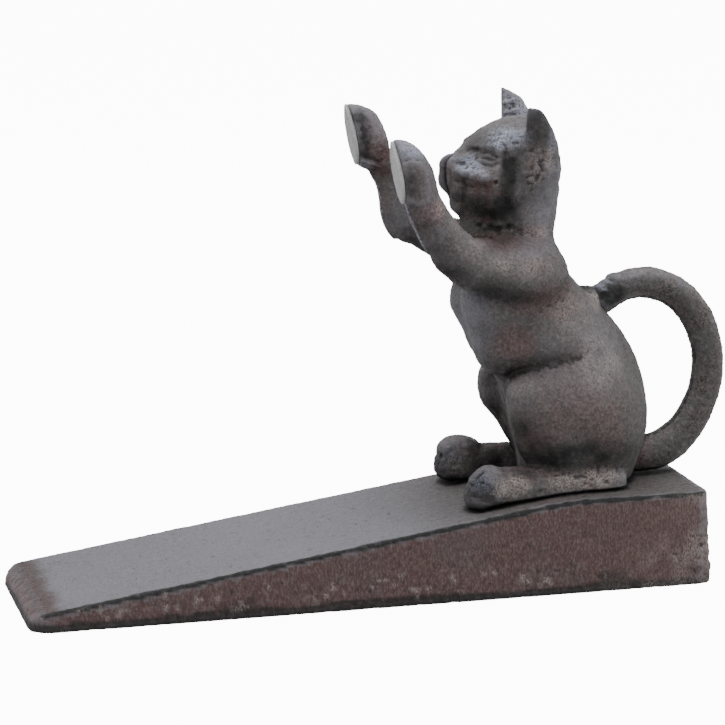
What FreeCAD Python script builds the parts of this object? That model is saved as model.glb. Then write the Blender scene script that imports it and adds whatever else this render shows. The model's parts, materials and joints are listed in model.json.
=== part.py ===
import FreeCAD, Part
import math
import os

import Sketcher
from FreeCAD import Placement, Rotation, Vector

# A cast iron door wedge with a seated cat that holds the door with its raised forepaws.
# +X runs from the wedge's thin tip to its heel, +Z is up, the cat looks towards -X, and its
# left side is at -Y. The origin is on the floor, under the middle of the whole object.
# Positions along the wedge are measured from its tip, so tip_x shifts all of them together.

doc = FreeCAD.newDocument("cat_door_wedge")
sheet = doc.addObject("Spreadsheet::Sheet", "Sizes")
X_AXIS = Vector(1, 0, 0)
Y_AXIS = Vector(0, 1, 0)
Z_AXIS = Vector(0, 0, 1)
SIDES = {"left": -1, "right": 1}
CLOSE = 0.01

# Distance from the tip to the crest, where the ramp meets the level plateau. The ramp is a
# tangent of the nose's round, whose centre is on the floor.
CREST = (
    "Sizes.nose_radius + (Sizes.plateau_height - Sizes.nose_radius / cos(Sizes.ramp_angle))"
    " / tan(Sizes.ramp_angle)"
)

DRIVING_SIZES = {
    # wedge casting
    "tip_x": -96.35,
    "wedge_length": 180.0,
    "wedge_width": 50.0,
    "plateau_height": 25.0,
    "ramp_angle": 8.3,
    "nose_radius": 5.0,
    "tip_corner": 6.0,
    "heel_corner": 1.6,
    "top_edge": 1.0,
    # hollow under the wedge
    "core_start": 58.0,
    "core_wall": 5.5,
    "core_top_skin": 5.5,
    # screws that hold the figure from below
    "screw_x": 150.0,
    "screw_spread": 12.0,
    "screw_radius": 2.5,
    "screw_clearance": 2.75,
    "screw_bite": 12.0,
    "screw_head_radius": 4.5,
    "screw_head_height": 3.2,
    "screw_slot_width": 1.2,
    "screw_slot_depth": 1.4,
    "screw_dome_radius": 5.625,
    "hole_overrun": 1.0,
    "washer_radius": 5.5,
    "washer_thickness": 1.0,
    "screw_post_radius": 7.5,
    "screw_post_foot": 8.0,
    # screw that clamps the two halves of the figure
    "clamp_x": 147.0,
    "clamp_z": 58.0,
    "clamp_post_radius": 6.5,
    "clamp_head_seat": 9.0,
    "clamp_bite": 11.0,
    "clamp_recess_radius": 5.0,
    # hollow inside the body
    "hollow_x": 146.0,
    "hollow_z": 57.0,
    "hollow_depth": 14.5,
    "hollow_width": 11.0,
    "hollow_height": 20.0,
    # locating pip between the halves, inside the head
    "pip_x": 130.0,
    "pip_z": 106.0,
    "pip_radius": 2.0,
    "pip_length": 2.0,
    "pip_clearance": 0.2,
    # tail, a ring bent to an ellipse that is open towards the back
    "tail_x": 168.6,
    "tail_z": 54.0,
    "tail_half_height": 23.4,
    "tail_half_width": 20.0,
    "tail_root_radius": 5.0,
    "tail_middle_radius": 4.1,
    "tail_end_radius": 3.7,
    "tail_root_angle": 195.0,
    "tail_end_angle": 308.0,
    # bumper pads on the forepaws
    "pad_length": 16.4,
    "pad_width": 8.0,
    "pad_thickness": 1.0,
    "pad_lean": 10.5,
    "paw_spread": 16.0,
    "left_pad_x": 96.95,
    "left_pad_z": 111.6,
    # how much further the right forepaw reaches than the left one
    "right_reach_forward": 3.8,
    "right_reach_up": 5.6,
}

# Cross-sections of the body, bottom to top: position, half depth, half width and forward lean.
TRUNK_SECTIONS = {
    "seat": (151.0, 24.0, 18.0, 14.5, 0.0),
    "hips": (150.0, 38.0, 21.0, 17.0, 3.0),
    "waist": (147.6, 52.0, 21.2, 16.5, 9.0),
    "ribs": (142.0, 67.0, 20.0, 14.8, 16.0),
    "chest": (136.0, 80.0, 16.4, 13.4, 17.0),
    "neck": (132.6, 91.0, 12.4, 10.6, 8.0),
    "nape": (131.5, 100.0, 12.0, 10.4, 0.0),
}

# Cross-sections of a foreleg, shoulder to paw: place, sideways place, height, radius, forward
# lean of the leg there, and the share of the right leg's extra reach that it takes.
FORELEG_SECTIONS = {
    "shoulder": (128.5, 9.0, 85.0, 9.0, 66.0, 0.0),
    "upper_arm": (120.0, 12.6, 88.4, 8.0, 66.0, 0.15),
    "elbow": (112.2, 15.2, 92.4, 6.7, 56.0, 0.4),
    "forearm": (106.8, 16.0, 98.6, 5.5, 36.0, 0.6),
    "wrist": (103.2, 16.0, 106.0, 5.1, 20.0, 0.85),
    "paw": (101.2, 16.0, 113.0, 5.0, 12.0, 1.0),
    "paw_end": (100.2, 16.0, 117.6, 4.0, 10.0, 1.0),
}

# Rounded masses of the figure: position, sideways place, height, and half sizes along X, Y, Z.
# A sideways place of 0 is on the middle plane; the others are there on both sides.
ROUNDED_MASSES = {
    "skull": (131.2, 0.0, 108.4, 14.8, 14.2, 14.4),
    "muzzle": (118.2, 0.0, 105.8, 7.0, 7.2, 6.6),
    "cheek": (124.5, 6.5, 104.0, 8.0, 7.4, 7.4),
    "shoulder_blade": (135.0, 8.5, 82.0, 11.0, 8.0, 12.0),
    "haunch": (149.4, 11.2, 42.4, 21.4, 8.8, 17.4),
    "hind_foot": (138.0, 13.8, 26.6, 21.5, 6.0, 6.0),
    "toes": (123.0, 13.8, 27.2, 6.4, 5.9, 5.0),
    "paw_ball": (99.8, 16.0, 116.4, 4.6, 4.4, 4.6),
}

# Cross-sections of an ear: position, sideways place, height, half length, half thickness.
EAR_SECTIONS = {
    "ear_base": (135.5, 8.4, 114.0, 6.6, 3.6),
    "ear_middle": (136.0, 10.8, 121.5, 3.9, 2.4),
    "ear_tip": (135.2, 12.4, 127.6, 1.0, 0.9),
}


def write_sheet():
    """Give every driving size a row of its own: its name beside a cell with that alias."""
    rows = dict(DRIVING_SIZES)
    for name, numbers in TRUNK_SECTIONS.items():
        rows.update(zip([name + "_" + word for word in ("x", "z", "depth", "width", "lean")], numbers))
    for name, numbers in FORELEG_SECTIONS.items():
        words = ("x", "y", "z", "radius", "lean", "share")
        rows.update(zip([name + "_" + word for word in words], numbers))
    for name, numbers in ROUNDED_MASSES.items():
        words = ("x", "y", "z", "long", "wide", "high")
        rows.update(zip([name + "_" + word for word in words], numbers))
    for name, numbers in EAR_SECTIONS.items():
        words = ("x", "y", "z", "long", "thick")
        rows.update(zip([name + "_" + word for word in words], numbers))
    for row, (alias, value) in enumerate(rows.items(), start=1):
        sheet.set("A%d" % row, alias)
        sheet.set("B%d" % row, str(value))
        sheet.setAlias("B%d" % row, alias)
    doc.recompute()


def bind(item, **expressions):
    """Bind properties of item to expressions in which every name is an alias of the sheet."""
    for name, expression in expressions.items():
        item.setExpression(name, expression)


def put(item, x="0", y="0", z="0", axis=Y_AXIS, angle="0"):
    """Bind an item's place; x is measured from the wedge's tip."""
    item.Placement = Placement(Vector(0, 0, 0), Rotation(axis, 1.0))
    item.setExpression("Placement.Base.x", "Sizes.tip_x + " + x)
    item.setExpression("Placement.Base.y", y)
    item.setExpression("Placement.Base.z", z)
    item.setExpression("Placement.Rotation.Angle", angle)
    return item


def make(kind, name, **expressions):
    """Add a Part object and bind its sizes."""
    item = doc.addObject("Part::" + kind, name)
    bind(item, **expressions)
    return item


def cut(name, base, tool):
    item = doc.addObject("Part::Cut", name)
    item.Base = base
    item.Tool = tool
    return item


def fuse(name, shapes):
    item = doc.addObject("Part::MultiFuse", name)
    item.Shapes = shapes
    return item


def box(name, x, y, z, length, width, height):
    item = make("Box", name, Length=length, Width=width, Height=height)
    return put(item, x, y, z)


def upright(name, x, y, z, radius, height):
    item = make("Cylinder", name, Radius=radius, Height=height)
    return put(item, x, y, z)


def crossways(name, x, y, z, radius, height):
    """A cylinder along Y: its foot is at y and it runs towards -Y."""
    item = make("Cylinder", name, Radius=radius, Height=height)
    return put(item, x, y, z, X_AXIS, "90")


def origin_plane(body, role):
    return next(item for item in body.Origin.OriginFeatures if item.Role == role)


def add_sketch(body, name, role, offset=None):
    sketch = body.newObject("Sketcher::SketchObject", name)
    sketch.AttachmentSupport = [(origin_plane(body, role), "")]
    sketch.MapMode = "FlatFace"
    if offset is not None:
        sketch.setExpression("AttachmentOffset.Base.z", offset)
    return sketch


def dimension(sketch, expression, kind, *arguments):
    """Add a constraint whose value comes from the sheet; the last argument is a first guess."""
    index = sketch.addConstraint(Sketcher.Constraint(kind, *arguments))
    sketch.setExpression("Constraints[%d]" % index, expression)


def chain(sketch, points, closed=True):
    """Add lines from point to point, joined end to end; returns the lines' numbers."""
    ends = points[1:] + points[:1] if closed else points[1:]
    segments = [Part.LineSegment(Vector(*a, 0), Vector(*b, 0)) for a, b in zip(points, ends)]
    lines = [sketch.addGeometry(segment) for segment in segments]
    for first, second in zip(lines, lines[1:] + lines[:1] if closed else lines[1:]):
        sketch.addConstraint(Sketcher.Constraint("Coincident", first, 2, second, 1))
    return lines


def screw_circles(sketch, radius_expression):
    """Two circles, one over each base screw."""
    guess_x, guess_y, guess_radius = 50.0, 12.0, 5.0
    for sign in SIDES.values():
        middle = Vector(guess_x, sign * guess_y, 0)
        circle = sketch.addGeometry(Part.Circle(middle, Z_AXIS, guess_radius))
        dimension(sketch, "Sizes.tip_x + Sizes.screw_x", "DistanceX", -1, 1, circle, 3, guess_x)
        dimension(sketch, "%d * Sizes.screw_spread" % sign, "DistanceY", -1, 1, circle, 3, sign * guess_y)
        dimension(sketch, radius_expression, "Radius", circle, guess_radius)


def make_wedge():
    """The ramp: a rounded block cut to its side profile, cored from below, with two screw posts."""
    body = doc.addObject("PartDesign::Body", "wedge_base")

    outline = add_sketch(body, "wedge_outline", "XY_Plane")
    corners = [(-96.0, -25.0), (84.0, -25.0), (84.0, 25.0), (-96.0, 25.0)]
    near, heel, far, tip = chain(outline, corners)
    directions = {near: "Horizontal", heel: "Vertical", far: "Horizontal", tip: "Vertical"}
    for line, kind in directions.items():
        outline.addConstraint(Sketcher.Constraint(kind, line))
    dimension(outline, "Sizes.tip_x", "DistanceX", -1, 1, near, 1, -96.0)
    dimension(outline, "-Sizes.wedge_width / 2", "DistanceY", -1, 1, near, 1, -25.0)
    dimension(outline, "Sizes.wedge_length", "DistanceX", near, 1, near, 2, 180.0)
    dimension(outline, "Sizes.wedge_width", "DistanceY", heel, 1, heel, 2, 50.0)
    block = body.newObject("PartDesign::Pad", "wedge_block")
    block.Profile = outline
    bind(block, Length="Sizes.plateau_height")
    doc.recompute()

    round_corners(body, block, "tip_corners", "Sizes.tip_corner", "tip")
    round_corners(body, body.Tip, "heel_corners", "Sizes.heel_corner", "heel")

    trim_to_ramp(body)
    core_from_below(body)

    posts = add_sketch(body, "screw_posts_outline", "XY_Plane", "Sizes.screw_post_foot")
    screw_circles(posts, "Sizes.screw_post_radius")
    pad = body.newObject("PartDesign::Pad", "screw_posts")
    pad.Profile = posts
    bind(pad, Length="Sizes.plateau_height - Sizes.screw_post_foot - Sizes.core_top_skin / 2")

    holes = add_sketch(body, "screw_holes_outline", "XY_Plane")
    screw_circles(holes, "Sizes.screw_clearance")
    pocket = body.newObject("PartDesign::Pocket", "screw_holes")
    pocket.Profile = holes
    pocket.Type = "ThroughAll"
    pocket.Reversed = True
    doc.recompute()
    return body


def round_corners(body, base, name, radius_expression, place):
    """Round the two upright edges of a block that stand at its tip or at its heel."""
    size = base.Shape.BoundBox
    corner_x = size.XMin if place == "tip" else size.XMax
    edges = []
    for number, edge in enumerate(base.Shape.Edges, start=1):
        at_corner = [
            abs(vertex.X - corner_x) < CLOSE and abs(abs(vertex.Y) - size.YMax) < CLOSE
            for vertex in edge.Vertexes
        ]
        if all(at_corner) and isinstance(edge.Curve, Part.Line) and edge.Length < size.ZMax + CLOSE:
            edges.append("Edge%d" % number)
    fillet = body.newObject("PartDesign::Fillet", name)
    fillet.Base = (base, edges)
    bind(fillet, Radius=radius_expression)
    doc.recompute()


def trim_to_ramp(body):
    """Cut away all that is over the ramp and in front of the rounded nose."""
    air = add_sketch(body, "air_over_ramp", "XZ_Plane")
    # from the nose's top up the ramp, then round through the air to the floor before the nose
    points = [(-92.0, 5.0), (46.0, 25.0), (46.0, 30.0), (-101.0, 30.0), (-101.0, 0.0), (-96.35, 0.0)]
    ramp, rise, ceiling, front, floor = chain(air, points, closed=False)
    nose_circle = Part.Circle(Vector(-91.35, 0, 0), Z_AXIS, 5.0)
    nose = air.addGeometry(Part.ArcOfCircle(nose_circle, math.radians(98.3), math.pi))
    air.addConstraint(Sketcher.Constraint("Tangent", nose, 1, ramp, 1))
    air.addConstraint(Sketcher.Constraint("Coincident", nose, 2, floor, 2))
    air.addConstraint(Sketcher.Constraint("PointOnObject", nose, 3, -1))
    directions = {rise: "Vertical", ceiling: "Horizontal", front: "Vertical", floor: "Horizontal"}
    for line, kind in directions.items():
        air.addConstraint(Sketcher.Constraint(kind, line))
    air.addConstraint(Sketcher.Constraint("PointOnObject", floor, 2, -1))
    dimension(air, "Sizes.tip_x", "DistanceX", -1, 1, floor, 2, -96.35)
    dimension(air, "Sizes.nose_radius", "Radius", nose, 5.0)
    dimension(air, "Sizes.ramp_angle", "Angle", ramp, 0.145)
    dimension(air, "Sizes.plateau_height", "DistanceY", -1, 1, ramp, 2, 25.0)
    dimension(air, "Sizes.nose_radius", "DistanceY", rise, 1, rise, 2, 5.0)
    dimension(air, "Sizes.nose_radius", "DistanceX", floor, 1, floor, 2, 5.0)
    pocket = body.newObject("PartDesign::Pocket", "ramp_and_nose")
    pocket.Profile = air
    pocket.Type = "ThroughAll"
    pocket.SideType = "Symmetric"
    doc.recompute()


def core_from_below(body):
    """Hollow the thick end from below, and leave a rim, a top skin and a solid tip."""
    core = add_sketch(body, "core_profile", "XZ_Plane")
    points = [(-38.0, 0.0), (-38.0, 7.0), (45.0, 19.5), (78.0, 19.5), (78.0, 0.0)]
    front, top, level, back, bottom = chain(core, points)
    directions = {front: "Vertical", level: "Horizontal", back: "Vertical", bottom: "Horizontal"}
    for line, kind in directions.items():
        core.addConstraint(Sketcher.Constraint(kind, line))
    core.addConstraint(Sketcher.Constraint("PointOnObject", front, 1, -1))
    skin_height = "Sizes.plateau_height - Sizes.core_top_skin"
    dimension(core, "Sizes.tip_x + Sizes.core_start", "DistanceX", -1, 1, front, 1, -38.0)
    dimension(core, skin_height, "DistanceY", -1, 1, level, 1, 19.5)
    core_length = "Sizes.wedge_length - Sizes.core_start - Sizes.core_wall"
    dimension(core, core_length, "DistanceX", bottom, 2, bottom, 1, 116.0)
    dimension(core, "Sizes.ramp_angle", "Angle", top, 0.145)
    dimension(core, "Sizes.tip_x + " + CREST, "DistanceX", -1, 1, level, 1, 45.0)
    pocket = body.newObject("PartDesign::Pocket", "core")
    pocket.Profile = core
    pocket.SideType = "Symmetric"
    bind(pocket, Length="Sizes.wedge_width - 2 * Sizes.core_wall")
    doc.recompute()


def make_screw(name, length):
    """A pan-head slotted screw along +Z, its head's seat at the origin and its shank above."""
    shank_length = length + " - Sizes.screw_slot_width"
    shank = make("Cylinder", name + "_shank", Radius="Sizes.screw_radius", Height=shank_length)
    end = make(
        "Cone",
        name + "_end",
        Radius1="Sizes.screw_radius",
        Radius2="Sizes.screw_radius - Sizes.screw_slot_width / 2",
        Height="Sizes.screw_slot_width",
    )
    end.setExpression("Placement.Base.z", shank_length)
    rim = make("Cylinder", name + "_rim", Radius="Sizes.screw_head_radius", Height="Sizes.screw_head_height")
    rim.setExpression("Placement.Base.z", "-Sizes.screw_head_height")
    dome = make(
        "Ellipsoid",
        name + "_dome",
        Radius1="Sizes.screw_head_height",
        Radius2="Sizes.screw_dome_radius",
        Radius3="Sizes.screw_dome_radius",
    )
    head = doc.addObject("Part::MultiCommon", name + "_head")
    head.Shapes = [rim, dome]
    slot = make(
        "Box",
        name + "_slot",
        Length="2 * Sizes.screw_head_radius",
        Width="Sizes.screw_slot_width",
        Height="Sizes.screw_slot_depth",
    )
    slot.setExpression("Placement.Base.x", "-Sizes.screw_head_radius")
    slot.setExpression("Placement.Base.y", "-Sizes.screw_slot_width / 2")
    slot.setExpression("Placement.Base.z", "-Sizes.screw_head_height")
    whole = fuse(name + "_blank", [shank, end, head])
    return cut(name, whole, slot)


def make_base_fasteners():
    """Two screws from below, each with a washer under its head; like fasteners form one group."""
    screws = []
    washers = []
    length = "Sizes.plateau_height + Sizes.screw_bite - Sizes.screw_post_foot + Sizes.washer_thickness"
    for side, sign in SIDES.items():
        place = ("Sizes.screw_x", "%d * Sizes.screw_spread" % sign)
        seat = "Sizes.screw_post_foot - Sizes.washer_thickness"
        screws.append(put(make_screw(side + "_base_screw", length), *place, seat))
        thickness = "Sizes.washer_thickness"
        plate = upright(side + "_washer_plate", *place, seat, "Sizes.washer_radius", thickness)
        hole = upright(side + "_washer_hole", *place, seat, "Sizes.screw_clearance", thickness)
        washers.append(cut(side + "_washer", plate, hole))
    groups = []
    for name, pieces in (("base_screws", screws), ("base_washers", washers)):
        group = doc.addObject("Part::Compound", name)
        group.Links = pieces
        groups.append(group)
    return groups


def make_clamp_screw():
    """The screw that draws the two halves of the figure together, entered from its right side."""
    screw = make_screw("clamp_screw", "Sizes.clamp_head_seat + Sizes.clamp_bite")
    return put(screw, "Sizes.clamp_x", "Sizes.clamp_head_seat", "Sizes.clamp_z", X_AXIS, "90")


def tail_point(angle):
    """Expressions for a point of the tail's centre line; the angle is 0 at its top."""
    x = "Sizes.tail_x + Sizes.tail_half_width * sin(%s)" % angle
    z = "Sizes.tail_z + Sizes.tail_half_height * cos(%s)" % angle
    return x, z


def make_tail(name):
    """A tapered round bar swept round an ellipse from inside the back to inside the rump."""
    path = make(
        "Ellipse",
        name + "_path",
        MajorRadius="Sizes.tail_half_height",
        MinorRadius="Sizes.tail_half_width",
    )
    # the ellipse's long axis stands upright and its angle grows from the top towards +X
    put(path, "Sizes.tail_x", "0", "Sizes.tail_z", Vector(1, 1, 1), "240")
    bind(path, Angle1="Sizes.tail_end_angle", Angle2="Sizes.tail_root_angle")
    sections = []
    angles = {"end": "Sizes.tail_end_angle", "middle": "90", "root": "Sizes.tail_root_angle"}
    for place, angle in angles.items():
        ring = make("Circle", name + "_" + place, Radius="Sizes.tail_%s_radius" % place)
        x, z = tail_point(angle)
        turn = "atan2(Sizes.tail_half_width * cos(%s); -Sizes.tail_half_height * sin(%s))" % (angle, angle)
        sections.append(put(ring, x, "0", z, Y_AXIS, turn))
    bar = doc.addObject("Part::Sweep", name)
    bar.Sections = sections
    bar.Spine = (path, ["Edge1"])
    bar.Solid = True
    bar.Frenet = False
    return bar


def loft(name, sections):
    item = doc.addObject("Part::Loft", name)
    item.Sections = sections
    item.Solid = True
    return item


def make_trunk(name):
    """The body and neck: elliptical sections, stacked along a spine that leans forward."""
    sections = []
    for part_name in TRUNK_SECTIONS:
        sizes = "Sizes." + part_name
        ring = make("Ellipse", name + "_" + part_name)
        bind(ring, MajorRadius=sizes + "_depth", MinorRadius=sizes + "_width")
        sections.append(put(ring, sizes + "_x", "0", sizes + "_z", Y_AXIS, "-%s_lean" % sizes))
    return loft(name, sections)


def make_foreleg(name, sign, reaches):
    """A tapered limb of round sections from the shoulder up to the raised paw."""
    sections = []
    for part_name in FORELEG_SECTIONS:
        sizes = "Sizes." + part_name
        x, z = sizes + "_x", sizes + "_z"
        if reaches:
            x += " - Sizes.right_reach_forward * %s_share" % sizes
            z += " + Sizes.right_reach_up * %s_share" % sizes
        ring = make("Circle", name + "_" + part_name, Radius=sizes + "_radius")
        sections.append(put(ring, x, "%d * %s_y" % (sign, sizes), z, Y_AXIS, "-%s_lean" % sizes))
    return loft(name, sections)


def make_ear(name, sign):
    """A thin upright leaf that narrows to a point and leans outwards."""
    sections = []
    for part_name in EAR_SECTIONS:
        sizes = "Sizes." + part_name
        ring = make("Ellipse", name + "_" + part_name)
        bind(ring, MajorRadius=sizes + "_long", MinorRadius=sizes + "_thick")
        sections.append(put(ring, sizes + "_x", "%d * %s_y" % (sign, sizes), sizes + "_z"))
    return loft(name, sections)


def make_mass(name, mass, sign, reaches=False):
    sizes = "Sizes." + mass
    item = make("Ellipsoid", name, Radius1=sizes + "_high", Radius2=sizes + "_long", Radius3=sizes + "_wide")
    x, z = sizes + "_x", sizes + "_z"
    if reaches:
        x += " - Sizes.right_reach_forward"
        z += " + Sizes.right_reach_up"
    return put(item, x, "%d * %s_y" % (sign, sizes), z)


def pad_place(reaches):
    """Expressions for the middle of a paw pad's outer face."""
    if reaches:
        return "Sizes.left_pad_x - Sizes.right_reach_forward", "Sizes.left_pad_z + Sizes.right_reach_up"
    return "Sizes.left_pad_x", "Sizes.left_pad_z"


def make_paw_trimmer(name, sign, reaches):
    """A block in front of a paw, whose back face is the plane that the pad is stuck to."""
    depth, width, height = 20, 20, 40
    block = make("Box", name, Length=str(depth), Width=str(width), Height=str(height))
    x, z = pad_place(reaches)
    back = "(Sizes.pad_thickness - %d)" % depth
    x += " + %s * cos(Sizes.pad_lean) + %d * sin(Sizes.pad_lean)" % (back, height / 2)
    z += " + %s * sin(Sizes.pad_lean) - %d * cos(Sizes.pad_lean)" % (back, height / 2)
    return put(block, x, "%d * Sizes.paw_spread - %d" % (sign, width / 2), z, Y_AXIS, "-Sizes.pad_lean")


def make_pad(name, sign, reaches):
    """A thin bumper with round ends on the front of a paw; its outer face leans forward."""
    body = doc.addObject("PartDesign::Body", name)
    outline = add_sketch(body, name + "_outline", "YZ_Plane")
    half, radius = 4.0, 4.0
    upper_end = Part.Circle(Vector(0, half, 0), Z_AXIS, radius)
    lower_end = Part.Circle(Vector(0, -half, 0), Z_AXIS, radius)
    top = outline.addGeometry(Part.ArcOfCircle(upper_end, 0, math.pi))
    bottom = outline.addGeometry(Part.ArcOfCircle(lower_end, math.pi, 2 * math.pi))
    left = outline.addGeometry(Part.LineSegment(Vector(-radius, half, 0), Vector(-radius, -half, 0)))
    right = outline.addGeometry(Part.LineSegment(Vector(radius, -half, 0), Vector(radius, half, 0)))
    joints = ((top, 2, left, 1), (bottom, 1, left, 2), (bottom, 2, right, 1), (top, 1, right, 2))
    for arc, arc_end, line, line_end in joints:
        outline.addConstraint(Sketcher.Constraint("Tangent", arc, arc_end, line, line_end))
    outline.addConstraint(Sketcher.Constraint("PointOnObject", top, 3, -2))
    outline.addConstraint(Sketcher.Constraint("Equal", top, bottom))
    outline.addConstraint(Sketcher.Constraint("Symmetric", top, 3, bottom, 3, -1, 1))
    dimension(outline, "Sizes.pad_width / 2", "Radius", top, radius)
    dimension(outline, "Sizes.pad_length - Sizes.pad_width", "DistanceY", bottom, 3, top, 3, 2 * half)
    slab = body.newObject("PartDesign::Pad", name + "_slab")
    slab.Profile = outline
    bind(slab, Length="Sizes.pad_thickness")
    x, z = pad_place(reaches)
    return put(body, x, "%d * Sizes.paw_spread" % sign, z, Y_AXIS, "-Sizes.pad_lean")


def make_hollow(name):
    """The space inside the body, less the post that the clamp screw runs through."""
    space = make(
        "Ellipsoid",
        name + "_space",
        Radius1="Sizes.hollow_height",
        Radius2="Sizes.hollow_depth",
        Radius3="Sizes.hollow_width",
    )
    put(space, "Sizes.hollow_x", "0", "Sizes.hollow_z")
    post = crossways(name + "_post", "Sizes.clamp_x", "Sizes.wedge_width / 2", "Sizes.clamp_z",
                     "Sizes.clamp_post_radius", "Sizes.wedge_width")
    return cut(name, space, post)


def make_half(side):
    """One half casting of the figure: everything on its side of the middle plane."""
    sign = SIDES[side]
    reaches = side == "right"
    name = "cat_" + side
    limbs = [make_trunk(name + "_trunk"), make_foreleg(name + "_foreleg", sign, reaches)]
    limbs.append(make_ear(name + "_ear", sign))
    for mass in ROUNDED_MASSES:
        limbs.append(make_mass(name + "_" + mass, mass, sign, reaches and mass == "paw_ball"))
    solid = fuse(name + "_full", limbs)
    width = "Sizes.wedge_width"
    low = "0" if side == "right" else "-" + width
    half_space = box(name + "_side", "0", low, "0", "2 * Sizes.wedge_length", width, "Sizes.wedge_length")
    half = doc.addObject("Part::MultiCommon", name + "_casting")
    half.Shapes = [solid, half_space]

    blank = half
    if side == "left":
        pip = crossways(name + "_pip", "Sizes.pip_x", "Sizes.pip_length", "Sizes.pip_z",
                        "Sizes.pip_radius", "2 * Sizes.pip_length")
        blank = fuse(name + "_blank", [half, pip])

    tools = [make_ground(name + "_ground"), make_paw_trimmer(name + "_paw_trimmer", sign, reaches)]
    tools.append(make_hollow(name + "_hollow"))
    tools.append(make_tail(name + "_tail_socket"))
    tools.append(upright(name + "_base_screw_hole", "Sizes.screw_x", "%d * Sizes.screw_spread" % sign, "0",
                         "Sizes.screw_radius",
                         "Sizes.plateau_height + Sizes.screw_bite + Sizes.hole_overrun"))
    tools.extend(clamp_screw_holes(name, side))
    return cut("cat_%s_half" % side, blank, fuse(name + "_tools", tools))


def make_ground(name):
    """The space under the figure: its soles lie on the level plateau and on the ramp's top."""
    width = "Sizes.wedge_width"
    level = box(name + "_level", "0", "-" + width, "0", "2 * Sizes.wedge_length", "2 * " + width,
                "Sizes.plateau_height")
    level.setExpression("Placement.Base.x", "Sizes.tip_x + " + CREST)
    slope = box(name + "_slope", "0", "-" + width, "0", "Sizes.wedge_length", "2 * " + width,
                "Sizes.plateau_height")
    down_ramp = "- Sizes.wedge_length * cos(Sizes.ramp_angle) + Sizes.plateau_height * sin(Sizes.ramp_angle)"
    put(slope, CREST + down_ramp, "-" + width,
        "Sizes.plateau_height - Sizes.wedge_length * sin(Sizes.ramp_angle)"
        " - Sizes.plateau_height * cos(Sizes.ramp_angle)", Y_AXIS, "-Sizes.ramp_angle")
    return fuse(name, [level, slope])


def clamp_screw_holes(name, side):
    """The left half's threaded hole, or the right one's clearance hole, head recess and pip socket."""
    place = ("Sizes.clamp_x", "Sizes.clamp_z")
    if side == "left":
        return [crossways(name + "_clamp_thread", place[0], "Sizes.hole_overrun", place[1],
                          "Sizes.screw_radius", "Sizes.clamp_bite + 2 * Sizes.hole_overrun")]
    clearance = crossways(name + "_clamp_clearance", place[0], "Sizes.clamp_head_seat + Sizes.hole_overrun",
                          place[1], "Sizes.screw_clearance", "Sizes.clamp_head_seat + 2 * Sizes.hole_overrun")
    recess = crossways(name + "_clamp_recess", place[0], "Sizes.wedge_width", place[1],
                       "Sizes.clamp_recess_radius", "Sizes.wedge_width - Sizes.clamp_head_seat")
    socket = crossways(name + "_pip_socket", "Sizes.pip_x", "Sizes.pip_length + Sizes.pip_clearance",
                       "Sizes.pip_z", "Sizes.pip_radius + Sizes.pip_clearance", "2 * Sizes.pip_length")
    return [clearance, recess, socket]


def check_and_write(pieces):
    """Stop on any failed object; then write each sub-part to a file named after its label."""
    failed = [item.Name for item in doc.Objects if "Invalid" in item.State or "Error" in item.State]
    if failed:
        raise RuntimeError("failed objects: " + ", ".join(failed))
    os.makedirs("parts", exist_ok=True)
    for piece in pieces:
        if piece.Shape.isNull() or not piece.Shape.isValid():
            raise RuntimeError(piece.Label + " has no valid shape")
        piece.Shape.exportStep("parts/%s.step" % piece.Label)
        size = piece.Shape.BoundBox
        print("%-16s %2d solid(s) %9.1f mm3  x %.1f..%.1f  y %.1f..%.1f  z %.1f..%.1f" % (
            piece.Label, len(piece.Shape.Solids), piece.Shape.Volume,
            size.XMin, size.XMax, size.YMin, size.YMax, size.ZMin, size.ZMax))


write_sheet()
sub_parts = [make_wedge(), make_half("left"), make_half("right"), make_tail("tail")]
sub_parts.extend(make_base_fasteners())
sub_parts.append(make_clamp_screw())
sub_parts.append(make_pad("left_paw_pad", SIDES["left"], False))
sub_parts.append(make_pad("right_paw_pad", SIDES["right"], True))
for sub_part in sub_parts:
    sub_part.Label = sub_part.Name
doc.recompute()
check_and_write(sub_parts)
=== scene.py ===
import json
import math

import bpy
import numpy as np
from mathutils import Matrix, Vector

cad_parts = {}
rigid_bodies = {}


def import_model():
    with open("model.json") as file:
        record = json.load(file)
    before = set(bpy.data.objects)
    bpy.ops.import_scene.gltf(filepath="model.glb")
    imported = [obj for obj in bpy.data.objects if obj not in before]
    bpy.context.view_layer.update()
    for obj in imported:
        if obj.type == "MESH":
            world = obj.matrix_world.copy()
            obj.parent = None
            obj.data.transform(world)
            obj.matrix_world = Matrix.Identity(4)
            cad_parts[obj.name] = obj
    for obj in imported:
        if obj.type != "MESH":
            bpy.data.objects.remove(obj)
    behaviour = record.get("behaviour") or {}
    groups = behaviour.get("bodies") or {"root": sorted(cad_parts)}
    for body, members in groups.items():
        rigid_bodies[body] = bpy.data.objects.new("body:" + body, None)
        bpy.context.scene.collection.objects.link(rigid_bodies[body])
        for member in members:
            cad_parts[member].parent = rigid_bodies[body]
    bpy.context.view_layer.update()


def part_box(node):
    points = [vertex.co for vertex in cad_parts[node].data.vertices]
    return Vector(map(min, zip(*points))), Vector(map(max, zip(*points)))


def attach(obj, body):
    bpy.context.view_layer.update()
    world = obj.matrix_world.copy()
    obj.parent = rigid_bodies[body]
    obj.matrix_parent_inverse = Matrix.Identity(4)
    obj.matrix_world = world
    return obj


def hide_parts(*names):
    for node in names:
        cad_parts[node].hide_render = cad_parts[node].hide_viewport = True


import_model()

# Every shape below is worked out in millimetres from the wedge's tip on the floor: x runs to the
# heel, y is 0 on the middle plane and negative on the cat's left side, z is up.
MM = 0.001
TIP_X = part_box("wedge_base")[0][0] / MM
HEEL_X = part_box("wedge_base")[1][0] / MM - TIP_X
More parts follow.
